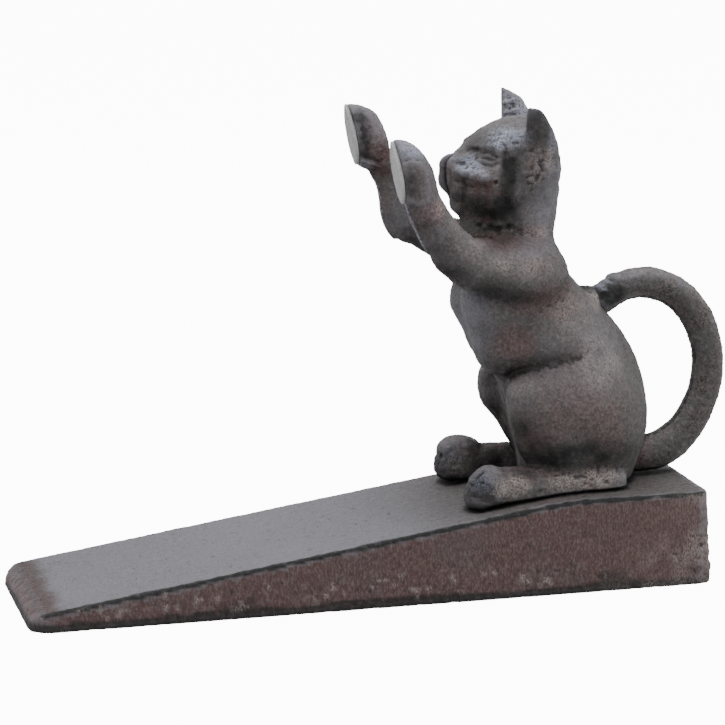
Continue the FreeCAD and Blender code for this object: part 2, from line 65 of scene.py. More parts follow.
HALF_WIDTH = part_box("wedge_base")[1][1] / MM
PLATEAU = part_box("wedge_base")[1][2] / MM
LEFT, RIGHT = -1, 1
# Where each piece's noise starts.
FIGURE_SEED = {LEFT: 10, RIGHT: 20}
TAIL_SEED, WEDGE_SEED, PAD_SEED = 30, 40, 50


# ---- distance fields
def length(*parts):
    return np.sqrt(sum(part * part for part in parts))


def union(a, b, blend):
    """The smooth union of two distances."""
    h = np.maximum(blend - np.abs(a - b), 0) / blend
    return np.minimum(a, b) - h * h * blend / 4


def overlap(a, b, blend):
    """The smooth intersection of two distances."""
    return -union(-a, -b, blend)


def ellipsoid(p, centre, radii, pitch=0.0, roll=0.0):
    """Pitch turns the ellipsoid nose-up about Y and roll about X, both in degrees."""
    x, y, z = (p[i] - centre[i] for i in range(3))
    if pitch:
        c, s = math.cos(math.radians(pitch)), math.sin(math.radians(pitch))
        x, z = x * c - z * s, x * s + z * c
    if roll:
        c, s = math.cos(math.radians(roll)), math.sin(math.radians(roll))
        y, z = y * c + z * s, -y * s + z * c
    far = length(x / radii[0], y / radii[1], z / radii[2])
    slope = length(x / radii[0] ** 2, y / radii[1] ** 2, z / radii[2] ** 2)
    return far * (far - 1) / np.maximum(slope, 1e-6)


def bone(p, a, b, radius_a, radius_b):
    """A round bar between two points whose radius changes evenly."""
    ab = [b[i] - a[i] for i in range(3)]
    pa = [p[i] - a[i] for i in range(3)]
    t = sum(pa[i] * ab[i] for i in range(3)) / sum(v * v for v in ab)
    t = np.clip(t, 0, 1)
    return length(*(pa[i] - t * ab[i] for i in range(3))) - (radius_a + t * (radius_b - radius_a))


def limb(p, points, blend):
    """Bars through (x, y, z, radius) points."""
    d = None
    for a, b in zip(points, points[1:]):
        bar = bone(p, a[:3], b[:3], a[3], b[3])
        d = bar if d is None else union(d, bar, blend)
    return d


def block(p, centre, half, rounding, pitch):
    """A box with rounded edges, turned nose-up about Y by the pitch in degrees."""
    x, y, z = (p[i] - centre[i] for i in range(3))
    c, s = math.cos(math.radians(pitch)), math.sin(math.radians(pitch))
    x, z = x * c - z * s, x * s + z * c
    q = [np.abs(v) - (half[i] - rounding) for i, v in enumerate((x, y, z))]
    outside = length(*(np.maximum(v, 0) for v in q))
    return outside + np.minimum(np.maximum(np.maximum(q[0], q[1]), q[2]), 0) - rounding


def curve_distance(p, points):
    """The distance to a line through points."""
    return np.minimum.reduce([bone(p, a, b, 0, 0) for a, b in zip(points, points[1:])])


def fade(value, low, high):
    """0 below low, 1 above high and smooth between them."""
    t = np.clip((value - low) / (high - low), 0, 1)
    return t * t * (3 - 2 * t)


def carve(d, p, points, width, depth):
    """Press a groove into a surface along a line; a negative depth raises a ridge."""
    far = curve_distance(p, points)
    return d + depth * np.exp(-((far / width) ** 2))


def dent(d, p, centre, radii, depth):
    """Press a soft hollow into a surface; a negative depth raises a bump."""
    far = sum(((p[i] - centre[i]) / radii[i]) ** 2 for i in range(3))
    return d + depth * np.exp(-far)


def score(d, p, points, width, depth, until=None):
    """A groove drawn on the side of a form: the line's x and z count, and its y does not."""
    flat = (p[0], 0.0, p[2])
    far = curve_distance(flat, [(x, 0.0, z) for x, z in points])
    if until is not None:
        depth = depth * fade(until - p[0], 0, 8)
    return d + depth * np.exp(-((far / width) ** 2))


def smooth_table(rows):
    """A smooth curve through (position, value, value, ...) rows; returns a function of position."""
    rows = np.array(rows, float)
    at = rows[:, 0]
    slopes = np.gradient(rows[:, 1:], at, axis=0)

    def values(z):
        z = np.clip(z, at[0], at[-1])
        i = np.clip(np.searchsorted(at, z) - 1, 0, len(at) - 2)
        span = at[i + 1] - at[i]
        t = (z - at[i]) / span
        curves = []
        for column in range(rows.shape[1] - 1):
            v = rows[:, 1 + column]
            m = slopes[:, column]
            curves.append(
                (1 + 2 * t) * (1 - t) ** 2 * v[i]
                + t * (1 - t) ** 2 * span * m[i]
                + t * t * (3 - 2 * t) * v[i + 1]
                + t * t * (t - 1) * span * m[i + 1]
            )
        return curves

    return values


# ---- noise
def lattice(ix, iy, iz, seed):
    """A repeatable random number from -1 to 1 for each whole-number point of space."""
    h = (ix * 374761393 + iy * 668265263 + iz * 2147483647 + seed * 1274126177) & 0xFFFFFFFF
    h = ((h ^ (h >> 13)) * 1103515245) & 0xFFFFFFFF
    h = ((h ^ (h >> 16)) * 2654435761) & 0xFFFFFFFF
    return ((h ^ (h >> 15)) & 0xFFFFFF) / float(0x7FFFFF) - 1.0


def noise(points, size, seed):
    """Smooth noise from -1 to 1 whose lumps are about `size` millimetres across."""
    q = points / size
    base = np.floor(q).astype(np.int64)
    f = q - base
    f = f * f * f * (f * (f * 6 - 15) + 10)
    total = 0.0
    for dx in (0, 1):
        for dy in (0, 1):
            for dz in (0, 1):
                weight = (
                    (f[:, 0] if dx else 1 - f[:, 0])
                    * (f[:, 1] if dy else 1 - f[:, 1])
                    * (f[:, 2] if dz else 1 - f[:, 2])
                )
                total = total + weight * lattice(base[:, 0] + dx, base[:, 1] + dy, base[:, 2] + dz, seed)
    return total


# ---- field to mesh
BLOCK = 8


def sample(field, low, high, cell):
    """Values of a field on a grid; far from the surface only their sign is right."""
    counts = [int(math.ceil((high[i] - low[i]) / cell / BLOCK)) * BLOCK for i in range(3)]
    axes = [low[i] + cell * np.arange(counts[i]) for i in range(3)]
    middles = [axis[BLOCK // 2 :: BLOCK] - cell / 2 for axis in axes]
    coarse = field((middles[0][:, None, None], middles[1][None, :, None], middles[2][None, None, :]))
    values = coarse.repeat(BLOCK, 0).repeat(BLOCK, 1).repeat(BLOCK, 2)
    near = np.abs(coarse) < BLOCK * cell * 1.35
    bi, bj, bk = np.nonzero(near)
    step = np.arange(BLOCK)
    for start in range(0, len(bi), 4000):
        part = slice(start, start + 4000)
        i = (bi[part, None] * BLOCK + step)[:, :, None, None]
        j = (bj[part, None] * BLOCK + step)[:, None, :, None]
        k = (bk[part, None] * BLOCK + step)[:, None, None, :]
        values[i, j, k] = field((axes[0][i], axes[1][j], axes[2][k]))
    return values


def surface(values, low, cell):
    """Points and quads of the zero surface of a grid, one point in each cell that it crosses."""
    inside = values < 0
    corners = [(a, b, c) for a in (0, 1) for b in (0, 1) for c in (0, 1)]
    nx, ny, nz = values.shape
    count = sum(
        inside[a : nx - 1 + a, b : ny - 1 + b, c : nz - 1 + c].astype(np.int8) for a, b, c in corners
    )
    ci, cj, ck = np.nonzero((count > 0) & (count < 8))
    index = np.full((nx - 1, ny - 1, nz - 1), -1, np.int64)
    index[ci, cj, ck] = np.arange(len(ci))
    at = {corner: values[ci + corner[0], cj + corner[1], ck + corner[2]] for corner in corners}
    total = np.zeros((len(ci), 3))
    crossings = np.zeros(len(ci))
    for a in corners:
        for axis in range(3):
            if a[axis]:
                continue
            b = tuple(v + (i == axis) for i, v in enumerate(a))
            crossed = (at[a] < 0) != (at[b] < 0)
            t = at[a] / np.where(crossed, at[a] - at[b], 1)
            for i in range(3):
                total[:, i] += np.where(crossed, a[i] + (t if i == axis else 0), 0)
            crossings += crossed
    points = (np.stack([ci, cj, ck], 1) + total / crossings[:, None]) * cell + np.array(low)
    quads = []
    for axis in range(3):
        u, v = (axis + 1) % 3, (axis + 2) % 3
        first = [slice(1, -1)] * 3
        second = [slice(1, -1)] * 3
        first[axis] = slice(0, -1)
        second[axis] = slice(1, None)
        first, second = inside[tuple(first)], inside[tuple(second)]
        g = list(np.nonzero(first != second))
        flip = ~first[tuple(g)]
        g[u] = g[u] + 1
        g[v] = g[v] + 1
        ring = []
        for du, dv in ((0, 0), (-1, 0), (-1, -1), (0, -1)):
            h = list(g)
            h[u] = g[u] + du
            h[v] = g[v] + dv
            ring.append(index[tuple(h)])
        quad = np.stack(ring, 1)
        quad[flip] = quad[flip][:, ::-1]
        quads.append(quad)
    return points, np.concatenate(quads)


def slopes(field, points, step=0.05):
    """The unit normals, the values and the steepness of a field at points."""
    x, y, z = points.T
    g = np.stack(
        [
            field((x + step, y, z)) - field((x - step, y, z)),
            field((x, y + step, z)) - field((x, y - step, z)),
            field((x, y, z + step)) - field((x, y, z - step)),
        ],
        1,
    )
    size = np.linalg.norm(g, axis=1, keepdims=True)
    return g / np.maximum(size, 1e-9), field((x, y, z)), size[:, 0] / (2 * step)


def skin(field, low, high, cell):
    """A mesh of a field's surface with its points pulled exactly onto it."""
    points, quads = surface(sample(field, low, high, cell), low, cell)
    for _ in range(2):
        normals, values, size = slopes(field, points)
        move = np.clip(values / np.maximum(size, 0.3), -cell, cell)
        points = points - normals * move[:, None]
    return points, quads, normals


def neighbour_mean(points, quads, rounds):
    """Points averaged with their neighbours a number of times."""
    a = np.concatenate([quads[:, i] for i in range(4)])
    b = np.concatenate([quads[:, (i + 1) % 4] for i in range(4)])
    n = len(points)
    degree = np.maximum(np.bincount(a, minlength=n) + np.bincount(b, minlength=n), 1)
    q = points.copy()
    for _ in range(rounds):
        q = np.stack(
            [
                (np.bincount(a, q[b, i], n) + np.bincount(b, q[a, i], n)) / degree
                for i in range(points.shape[1])
            ],
            1,
        )
    return q


# ---- the cat figure
# Height, centre, half depth and half width of the body and neck.
TRUNK = smooth_table(
    [
        (22, 151, 14.2, 14),
        (30, 151.8, 16.2, 15.5),
        (38, 152.3, 18.1, 16.4),
        (46, 151, 19.4, 16.6),
        (53, 149.2, 19.8, 16.2),
        (60, 145.6, 20.6, 15.4),
        (66, 142, 20.4, 14.8),
        (72, 139, 18.2, 14.4),
        (78, 135.6, 15.2, 14),
        (84, 132.8, 13.6, 13),
        (91, 131.8, 12.3, 11.2),
        (98, 131.9, 13, 10.8),
        (105, 132.2, 13.3, 10.8),
    ]
)

# Forelegs from the paw to the shoulder: x, outward y, z, radius.
FORELEG = {
    LEFT: [
        (101, 16, 113.4, 3.2),
        (102.1, 16, 110.4, 3.6),
        (103.4, 16, 105.6, 3.8),
        (105.8, 16, 100.6, 4.1),
        (108.6, 15.8, 95.8, 4.5),
        (112.8, 15.2, 90.2, 5.5),
        (118.2, 13.6, 86.9, 6.6),
        (128, 10.4, 83.6, 8.8),
    ],
    RIGHT: [
        (97.6, 16, 118.8, 3.4),
        (99, 16, 115.2, 3.9),
        (102.8, 16, 109, 3.6),
        (105.8, 16, 103.2, 3.9),
        (107.4, 16, 98.2, 5),
        (109.4, 15.8, 94.6, 5.9),
        (116.5, 14, 90.5, 5.6),
        (128, 10.4, 85.4, 8.4),
    ],
}
# Each paw's lean, middle and radii in its pad's frame.
PAW = {
    LEFT: (0.5, (-3.6, 0, 1.6), (5.7, 4.8, 8.0)),
    RIGHT: (0.34, (-2.8, 0, 1.2), (8.0, 4.8, 7.4)),
}
PAW_Y = 16.0
PAD_LEAN = 10.5
PAD_MIDDLE = {LEFT: (96.95, 111.6), RIGHT: (93.15, 117.2)}
PAD_THICK = 1.0
PAD_HALF_WIDTH, PAD_HALF_LENGTH = 4.0, 8.2
SOLE_GAP = 0.35


def trunk(p):
    x, y, z = p
    centre, depth, width = TRUNK(z)
    u, v = (x - centre) / depth, y / width
    far = length(u, v)
    slope = length(u / depth, v / width) / np.maximum(far, 1e-6)
    d = (far - 1) / np.maximum(slope, 1e-6)
    return overlap(d, z - 104.5, 2)


def pad_frame(p, side):
    """Along the pad's outward normal, outward along Y from its middle, and up along its face."""
    c, s = math.cos(math.radians(PAD_LEAN)), math.sin(math.radians(PAD_LEAN))
    x, z = p[0] - PAD_MIDDLE[side][0], p[2] - PAD_MIDDLE[side][1]
    return -c * x - s * z, p[1] * side - PAW_Y, -s * x + c * z


def leaf(across, along, half_width, half_length):
    """The distance to the outline of a paw's face: round below and drawn to a point above."""
    lift = np.clip(along / half_length, -1.2, 1.2)
    narrowing = 1 - 0.1 * lift - 0.3 * lift * lift - 0.3 * np.maximum(lift, 0) ** 3
    u, v = across / (half_width * narrowing), along / half_length
    far = length(u, v)
    slope = length(u / half_width, v / half_length) / np.maximum(far, 1e-6)
    return (far - 1) / np.maximum(slope, 1e-6)


def foreleg(p, side):
    w = (p[0], p[1] * side, p[2])
    leg = limb(w, FORELEG[side], 2.5)
    # the joint line of the casting stands up a little along the leg's front
    fin = overlap(np.abs(w[1] - PAW_Y) - 0.4, leg - 0.5, 0.2)
    fin = overlap(fin, w[2] - PAD_MIDDLE[side][1] + 6, 1)
    leg = union(leg, overlap(fin, w[0] - 106, 1), 0.4)
    out, across, along = pad_frame(p, side)
    lean, middle, radii = PAW[side]
    d = union(leg, ellipsoid((out, across, along - lean * out), middle, radii), 2.4)
    if side == RIGHT:
        # the back of this paw is flat
        back = (w[0] - 103.3) * 0.953 + (w[2] - 115.0) * 0.303
        d = overlap(d, back - 20 * fade(111 - w[2], 0, 6), 1.2)
    # the ball of the paw below the pad, with its creases
    ball = ellipsoid((out, across, along - 0.45 * out), (-3.6, 0, -6.6), (4.2, 4.2, 2.1))
    d = union(d, ball, 0.8)
    for crease in (-8.0, -7.0, -6.0):
        far = np.abs(along - 0.5 * out - crease)
        inner = fade(-across, 0.5, 2) * fade(out, -6.5, -4.5)
        d = d + 0.2 * inner * np.exp(-((far / 0.35) ** 2))
    # the hollow of the palm on its inner side, and the crease round the tip of the toes
    d = dent(d, (out, across, along), (-3.2, -4.8, 0.4), (1.8, 3, 5), 2)
    far = np.abs(along - 0.185 * out - 3.7 - 0.3 * np.sin(out * 1.3))
    d = d + 0.22 * np.exp(-((far / 0.4) ** 2)) * fade(across, 0, 1.5)
    return overlap(d, out + PAD_THICK, 0.3)


FACE_EDGE = [(126.6, 116.2), (126.2, 111.8), (125, 108.4), (124.4, 103.8), (125.4, 99.2)]
EAR_CRACK = [(138.3, 117.9), (137.2, 115.6), (137.8, 113.6)]
EAR_CRACK += [(136.4, 112.2), (136.8, 110.4), (135.2, 108.1)]
DIMPLE = [(124.4, 107.6), (124.5, 107.7)]
# Grooves on the sides of the head, and ridges where the depth is negative: line, width and depth.
HEAD_MARKS = (
    # the nostril and the brow
    ([(114.8, 110.9), (116.2, 111.5), (118, 111.6)], 0.6, 0.6),
    ([(117.2, 113.9), (119.2, 114.8), (121.4, 115.2)], 0.7, 0.6),
    # the closed eye: its upper lid, its lower lid, the slit and the ridge above
    ([(121, 113.7), (122.4, 114.5), (123.9, 114.7), (125.4, 113.8)], 0.45, 0.3),
    ([(120.8, 112.9), (122.4, 111.9), (124.2, 111.6), (125.6, 112.4)], 0.45, 0.26),
    ([(121.6, 113.3), (123, 113.3), (124.6, 113.1)], 0.4, 0.26),
    ([(121.4, 116.2), (124, 116.6), (126.2, 115.6)], 0.9, -0.35),
    # the whisker pad above its lower edge
    ([(117, 109.6), (119.6, 109.4), (121.6, 109)], 1.5, -0.75),
    ([(115.6, 107.2), (119.2, 106.6), (123.2, 106.8)], 1.3, 0.4),
    # the furrows of the cheek
    ([(117.8, 105.4), (118.2, 102)], 0.45, 0.14),
    ([(119.2, 106), (119.6, 101.2)], 0.45, 0.14),
    ([(120.5, 105), (120.9, 100.6)], 0.45, 0.14),
    ([(122, 105.8), (122.4, 101.6)], 0.45, 0.14),
    # the dimple with its rim
    (DIMPLE, 1.3, -0.35),
    (DIMPLE, 0.5, 0.8),
    # the edge of the face from the temple to the jaw
    (FACE_EDGE, 1.3, -0.3),
    ([(x + 2.4, z) for x, z in FACE_EDGE], 2.4, 1.1),
    # the jagged crack between the ear's hollow and the back of the head
    (EAR_CRACK, 0.6, 0.6),
    ([(x + 1.3, z) for x, z in EAR_CRACK], 0.8, -0.3),
)


def head(p, side):
    x, y, z = p[0], p[1] * side, p[2]
    w = (x, y, z)
    # the right half of the muzzle sits a little further forward than the left
    lag = 0.8 * -side * fade(z, 102, 105.6) * fade(115 - z, 0, 2)
    d = ellipsoid(w, (133.4, 0, 109.4), (12.2, 13.2, 13.4))
    d = union(d, bone(w, (130, 0, 107.4), (120.2 + lag, 0, 107.4), 11.4, 6.2), 3)
    d = union(d, ellipsoid(w, (126, 7, 105.4), (8, 6.4, 8.2), roll=-8), 2.6)
    d = union(d, ellipsoid(w, (122.4 + lag, 0, 102), (6.7, 6, 4.6), pitch=-24), 2)
    d = union(d, ellipsoid(w, (119 + lag, 3, 106.2), (4.2, 4, 4.2)), 1.4)
    d = union(d, ellipsoid(w, (127.4, 0, 110.4), (11.2, 10.6, 11.8)), 2)
    forehead = (z - 116.4) * 0.8 - (x - 120.0) * 0.6 + 0.028 * y * y
    d = overlap(d, forehead, 3)
    # the nose
    d = union(d, ellipsoid(w, (117 + lag, 0, 110.7), (3, 3.2, 2.8)), 1.4)
    marks = np.zeros(1)
    for points, width, depth in HEAD_MARKS:
        marks = score(marks, w, points, width, depth)
    # the marks stay clear of the joint between the halves
    return d + fade(y, 1.5, 4) * marks


# Each ear's tip height, front edge, extra depth at the back and slant of the tip.
EAR = {LEFT: (126.8, 132.2, 0.0, 0.2), RIGHT: (129.0, 133.2, 1.6, 0.5)}
EAR_ROOT = 112.5


def ear(p, side):
    """A leaf that stands on the side of the skull, hollow towards the front and the middle."""
    w = (p[0], p[1] * side, p[2])
    tip, front, deeper, slant = EAR[side]
    t = np.clip((w[2] - EAR_ROOT) / (tip - EAR_ROOT), 0, 1.2)
    front = front + 0.6 * t
    back = 142.1 - 6.4 * t ** 1.8 + deeper
    middle_y = 9.6 + 3.6 * t
    half_thick = 2.6 - 1.5 * t
    d = overlap(front - w[0], w[0] - back, 1.2)
    d = overlap(d, np.abs(w[1] - middle_y) - half_thick, 1)
    d = overlap(d, (w[2] - tip) + slant * (w[0] - front), 0.8)
    d = overlap(d, EAR_ROOT - 5 - w[2], 3)
    # the hollow of the ear, with its low cross ridges
    d = dent(d, w, (134.6, 8.4, 121.5), (3.4, 3, 4.6), 1.2)
    for ridge in range(3):
        y, z = 0.5 * ridge, 119.6 + 2.6 * ridge
        d = carve(d, w, [(133.6, 10 + y, z), (138.4 - ridge, 9.8 + y, z + 0.8)], 0.5, -0.6)
    return d * 0.9


# The haunch's middle and radii, and the shin's two ends with their radii.
HAUNCH = {
    LEFT: ((148.8, 10.6, 43), (18.2, 9.2, 17.6)),
    RIGHT: ((150.2, 10.6, 43), (16.8, 9.2, 17.6)),
}
SHIN = {
    LEFT: ((135.8, 13, 47), (146, 13.2, 34), 5.2, 5),
    RIGHT: ((134.6, 12.8, 46.4), (146.4, 13.2, 34), 5.8, 4.6),
}
# Each hind foot's outward y and height, how far its toes are raised, and their x.
HIND_FOOT = {LEFT: (13.8, 27.6, 0.0, 122.6), RIGHT: (15.2, 27.0, 1.5, 122.8)}


def hind_leg(p, side):
    w = (p[0], p[1] * side, p[2])
    foot_y, foot_z, toe_lift, toe_x = HIND_FOOT[side]
    haunch = ellipsoid(w, *HAUNCH[side], pitch=4)
    thigh = bone(w, (134.8, 12.6, 51), (149, 11, 46), 6.4, 8.4)
    d = union(haunch, thigh, 5)
    d = union(d, bone(w, *SHIN[side]), 4)
    taper = 0.06 * np.maximum(w[0] - 138, 0)
    foot = block(w, (141.2, foot_y, foot_z - 0.6), (21.0, 5.1, 4.9), 3.6, pitch=2.0) + taper
    # the heel is rounded off
    heel_y = np.maximum(np.abs(w[1] - foot_y) - 0.2, 0)
    heel = length(np.maximum(w[0] - 150.4, 0) * 0.42, heel_y, np.maximum(w[2] - 27.4, 0)) - 5.0
    foot = overlap(foot, heel, 1)
    d = union(d, foot, 1.8)
    toes = ellipsoid(w, (toe_x, foot_y, 26.6 + toe_lift), (5.8, 5.4, 5.2 + 0.4 * toe_lift), pitch=-4)
    tips = ellipsoid(w, (toe_x - 2.2, foot_y, 24.6 + toe_lift), (4, 5.2, 3.8))
    knuckle = ellipsoid(w, (toe_x + 0.4, foot_y, 29.8 + toe_lift), (3.8 + 1.4 * toe_lift, 4.4, 3.2))
    toes = union(union(toes, tips, 1.2), knuckle, 1.2)
    d = union(d, toes, 1.4)
    for toe in (-1, 1):
        y = foot_y + 1.9 * toe
        d = carve(d, w, [(116, y, 24.5), (117.6, y, 29), (121.4, y, 32.6)], 0.5, 0.5)
    return d


# The right half's chest sits a little further back than the left's.
CHEST = {
    LEFT: [(126.4, 5.6, 82, 8.4), (127, 5.4, 74, 8.2), (129.8, 4.6, 63, 8.2)],
    RIGHT: [(126.4, 6, 82, 8.4), (127, 6.2, 74, 8.2), (131.8, 5, 63, 8)],
}
RIB_BULGE = [(126, 62.5), (136, 64), (146, 66)]
BELLY_CREASE = [(130.6, 57.2), (136, 58.4), (144.5, 60), (150.2, 61.6)]
SHOULDER_FOLD = [(120.7, 79.8), (126.9, 77.2), (133.6, 75.4), (140, 75.6), (145, 77.4)]
JAW_CREASE = [(118.8, 94.2), (125, 94.6), (132, 94.2), (138, 93)]
JAW_PITS = [(118.6, 94.4), (120.6, 95), (122.2, 95.5), (124.7, 95.2), (126.4, 94.9), (129, 95.2)]


def figure(p, side):
    """The whole figure as the half casting of one side sees it."""
    x, y, z = p[0], p[1] * side, p[2]
    w = (x, y, z)
    d = trunk(p)
    d = union(d, ellipsoid(w, (134, 9, 81.6), (11.4, 8.6, 10.6), pitch=-12), 4)
    d = union(d, limb(w, CHEST[side], 2), 2.5)
    d = union(d, hind_leg(p, side), 3)
    d = union(d, foreleg(p, side), 2.6)
    # the collar of iron where the tail meets the back
    d = union(d, ellipsoid(w, (154.5, 0, 73.1), (3.4, 4.2, 3.8)), 2.5)
    skull = union(head(p, side), ear(p, side), 1.2 if side == RIGHT else 2.4)
    d = union(d, skull, 1.8)
    # ribs that bulge over the thigh, with the crease between them, and the fold under the shoulder
    marks = np.zeros(1)
    marks = score(marks, w, RIB_BULGE, 4, -1)
    marks = score(marks, w, BELLY_CREASE, 2, 1.05, until=152)
    marks = score(marks, w, SHOULDER_FOLD, 3.2, 1.1, until=148)
    # the crease under the head with a row of little pits
    marks = score(marks, w, JAW_CREASE, 1.3, 0.8, until=138)
    for x, z in JAW_PITS:
        marks = score(marks, w, [(x, z), (x, z + 0.1)], 0.7, 0.6)
    d = d + marks * fade(y, 4, 8)
    # the lip where the two halves meet down the chest
    lip = overlap(np.abs(y - 0.3) - 0.5, d - (1.2 if side == LEFT else 0.2), 0.2)
    lip = overlap(overlap(lip, x - 128, 1), np.abs(z - 68) - 16, 1)
    return union(d, lip, 0.5)


# The recess in the right half where the clamp screw's head sits.
SCREW_X, SCREW_Z, RECESS_RADIUS, RECESS_FLOOR = 147.0, 58.0, 5.0, 9.0


def screw_recess(p):
    return overlap(length(p[0] - SCREW_X, p[2] - SCREW_Z) - RECESS_RADIUS, RECESS_FLOOR - p[1], 0.4)


# ---- the wedge
NOSE_RADIUS = 5.0
RAMP_ANGLE = math.radians(8.3)
RAMP_SLOPE = math.tan(RAMP_ANGLE)
RAMP_COS = math.cos(RAMP_ANGLE)
RAMP_START = NOSE_RADIUS / RAMP_COS - RAMP_SLOPE * NOSE_RADIUS
CORE_START, CORE_WALL, CORE_SKIN = 58.0, 5.5, 5.5
POST_X, POST_Y, POST_RADIUS, POST_FOOT, HOLE_RADIUS = 150.0, 12.0, 8.0, 8.0, 2.75


# Runs of iron left on the heel's edge: x, y, z and three radii.
HEEL_LUMPS = (
    (HEEL_X - 0.2, 3.0 - HALF_WIDTH, 3.4, 2, 2.6, 3.2),
    (HEEL_X - 0.6, 2.4 - HALF_WIDTH, 9.6, 1.4, 2.2, 4),
    (HEEL_X - 0.5, HALF_WIDTH - 3, 4, 1.2, 2.4, 3),
)


def top_height(x):
    """The ramp's height, and the plateau's, with a soft crest between them."""
    return union(RAMP_START + RAMP_SLOPE * x, PLATEAU, 1)


def plan(p, inset, tip_corner, heel_corner):
    """The distance to the wedge's outline from above, drawn in by an inset."""
    x, y = p[0], np.abs(p[1])
    corner = np.where(x < HEEL_X / 2, tip_corner, heel_corner)
    ux = np.abs(x - HEEL_X / 2) - (HEEL_X / 2 - inset - corner)
    uy = y - (HALF_WIDTH - inset - corner)
    return length(np.maximum(ux, 0), np.maximum(uy, 0)) + np.minimum(np.maximum(ux, uy), 0) - corner


def wedge(p):
    x, y, z = p
    draft = 0.02 * (PLATEAU - z)
    bulge = fade(x, 150, 178) * (0.8 + 0.03 * (PLATEAU - z))
    over = (z - top_height(x)) * RAMP_COS
    nose = length(np.minimum(x - NOSE_RADIUS, 0), np.maximum(z, 0)) - NOSE_RADIUS
    over = np.where(x < NOSE_RADIUS, np.maximum(nose, over), over)
    sides = plan((x - bulge, y, z), 0.1, 6.0, 3.4) - draft
    d = overlap(over, sides, 1)
    for lump in HEEL_LUMPS:
        d = union(d, ellipsoid(p, lump[:3], lump[3:]), 1.2)
    d = overlap(d, -z, 0.5)
    core = overlap(over + CORE_SKIN, plan(p, CORE_WALL, 2, 2), 3)
    core = overlap(core, CORE_START - x, 3)
    posts = length(x - POST_X, np.abs(y) - POST_Y) - POST_RADIUS
    posts = overlap(posts, POST_FOOT - z, 0.8)
    d = overlap(d, -overlap(core, -posts, 2), 1.2)
    return overlap(d, HOLE_RADIUS - length(x - POST_X, np.abs(y) - POST_Y), 0.4)


# ---- the tail
TAIL_X, TAIL_Z, TAIL_HALF_WIDTH, TAIL_HALF_HEIGHT = 168.6, 54.0, 20.0, 23.4
TAIL_END, TAIL_ROOT = -50.0, 196.0
TAIL_LUMPS = (
    (154.6, -0.4, 76.2, 1),
    (156.4, -1.2, 76.2, 1.3),
    (157.6, -2.6, 75.2, 2),
    (159, -1.8, 77, 1.6),
    (161.4, 1.2, 77.8, 1.8),
    (157.2, -3.2, 72.4, 1.6),
    (159.2, -2.8, 73.4, 1.7),
    (157, 2.4, 73.6, 2.4),
)


def tail(p):
    u, v = p[0] - TAIL_X, p[2] - TAIL_Z
    t = np.arctan2(u / TAIL_HALF_WIDTH, v / TAIL_HALF_HEIGHT)
    t = np.where(t < math.radians(TAIL_END - 57), t + 2 * math.pi, t)
    for _ in range(3):
        c, s = np.cos(t), np.sin(t)
        du, dv = TAIL_HALF_WIDTH * s - u, TAIL_HALF_HEIGHT * c - v
        pull = du * TAIL_HALF_WIDTH * c - dv * TAIL_HALF_HEIGHT * s
        stiff = (TAIL_HALF_WIDTH * c) ** 2 + (TAIL_HALF_HEIGHT * s) ** 2
        stiff = stiff - du * TAIL_HALF_WIDTH * s - dv * TAIL_HALF_HEIGHT * c
        t = t - np.clip(pull / np.maximum(stiff, 60), -0.3, 0.3)
    t = np.clip(t, math.radians(TAIL_END), math.radians(TAIL_ROOT))
    share = (t - math.radians(TAIL_END)) / math.radians(TAIL_ROOT - TAIL_END)
    low_bend = np.exp(-(((share - 0.83) / 0.09) ** 2))
    high_bend = np.exp(-(((share - 0.1) / 0.07) ** 2))
    radius = 3.7 + 0.7 * share + 0.6 * share ** 4 + 0.3 * low_bend
    flat = length(TAIL_HALF_WIDTH * np.sin(t) - u, TAIL_HALF_HEIGHT * np.cos(t) - v)
    inner = (u / TAIL_HALF_WIDTH) ** 2 + (v / TAIL_HALF_HEIGHT) ** 2 < 1
    flat = np.abs(np.where(inner, -flat, flat) - 0.7 * low_bend + 0.5 * high_bend)
    y = p[1]
    d = length(flat, y) - radius
    # the fin of iron that was left along the mould's joint, highest on the inside of the loop
    reach = radius + np.where(inner, 0.45, 0.15)
    fin = overlap(np.abs(y + 0.5) - 0.3, flat - reach, 0.2)
    d = union(d, fin, 0.5)
    # lumps where the upper end was joined to the back
    for x, y, z, size in TAIL_LUMPS:
        d = union(d, length(p[0] - x, p[1] - y, p[2] - z) - size, 1)
    return d


# ---- meshes
def whole_object(p):
    """Everything at once, for finding how closed in a place is, which sets its painted occlusion shade.
    """
    body = np.where(p[1] < 0, figure(p, LEFT), figure(p, RIGHT))
    return np.minimum(np.minimum(body, tail(p)), wedge(p))


def build_mesh(name, points, quads, masks):
    """A smooth object in metres; each mask becomes an attribute that its material reads."""
    mesh = bpy.data.meshes.new(name)
    mesh.vertices.add(len(points))
    co = (points + np.array([TIP_X, 0, 0])) * MM
    mesh.vertices.foreach_set("co", co.astype(np.float32).ravel())
    mesh.loops.add(len(quads) * 4)
    mesh.loops.foreach_set("vertex_index", quads.astype(np.int32).ravel())
    mesh.polygons.add(len(quads))
    mesh.polygons.foreach_set("loop_start", np.arange(0, len(quads) * 4, 4, dtype=np.int32))
    mesh.update(calc_edges=True)
    mesh.validate()
    mesh.polygons.foreach_set("use_smooth", np.ones(len(mesh.polygons), bool))
    for mask, values in masks.items():
        attribute = mesh.attributes.new(mask, "FLOAT", "POINT")
        attribute.data.foreach_set("value", values.astype(np.float32))
    piece = bpy.data.objects.new(name, mesh)
    bpy.context.scene.collection.objects.link(piece)
    return piece


# How far out a full ridge and a full crest stand, and how far off the surface the painted occlusion
# shade is measured.
RIDGE_HEIGHT, CREST_HEIGHT = 0.12, 0.5
PAINTED_OCCLUSION_REACHES = (1.5, 4.0)


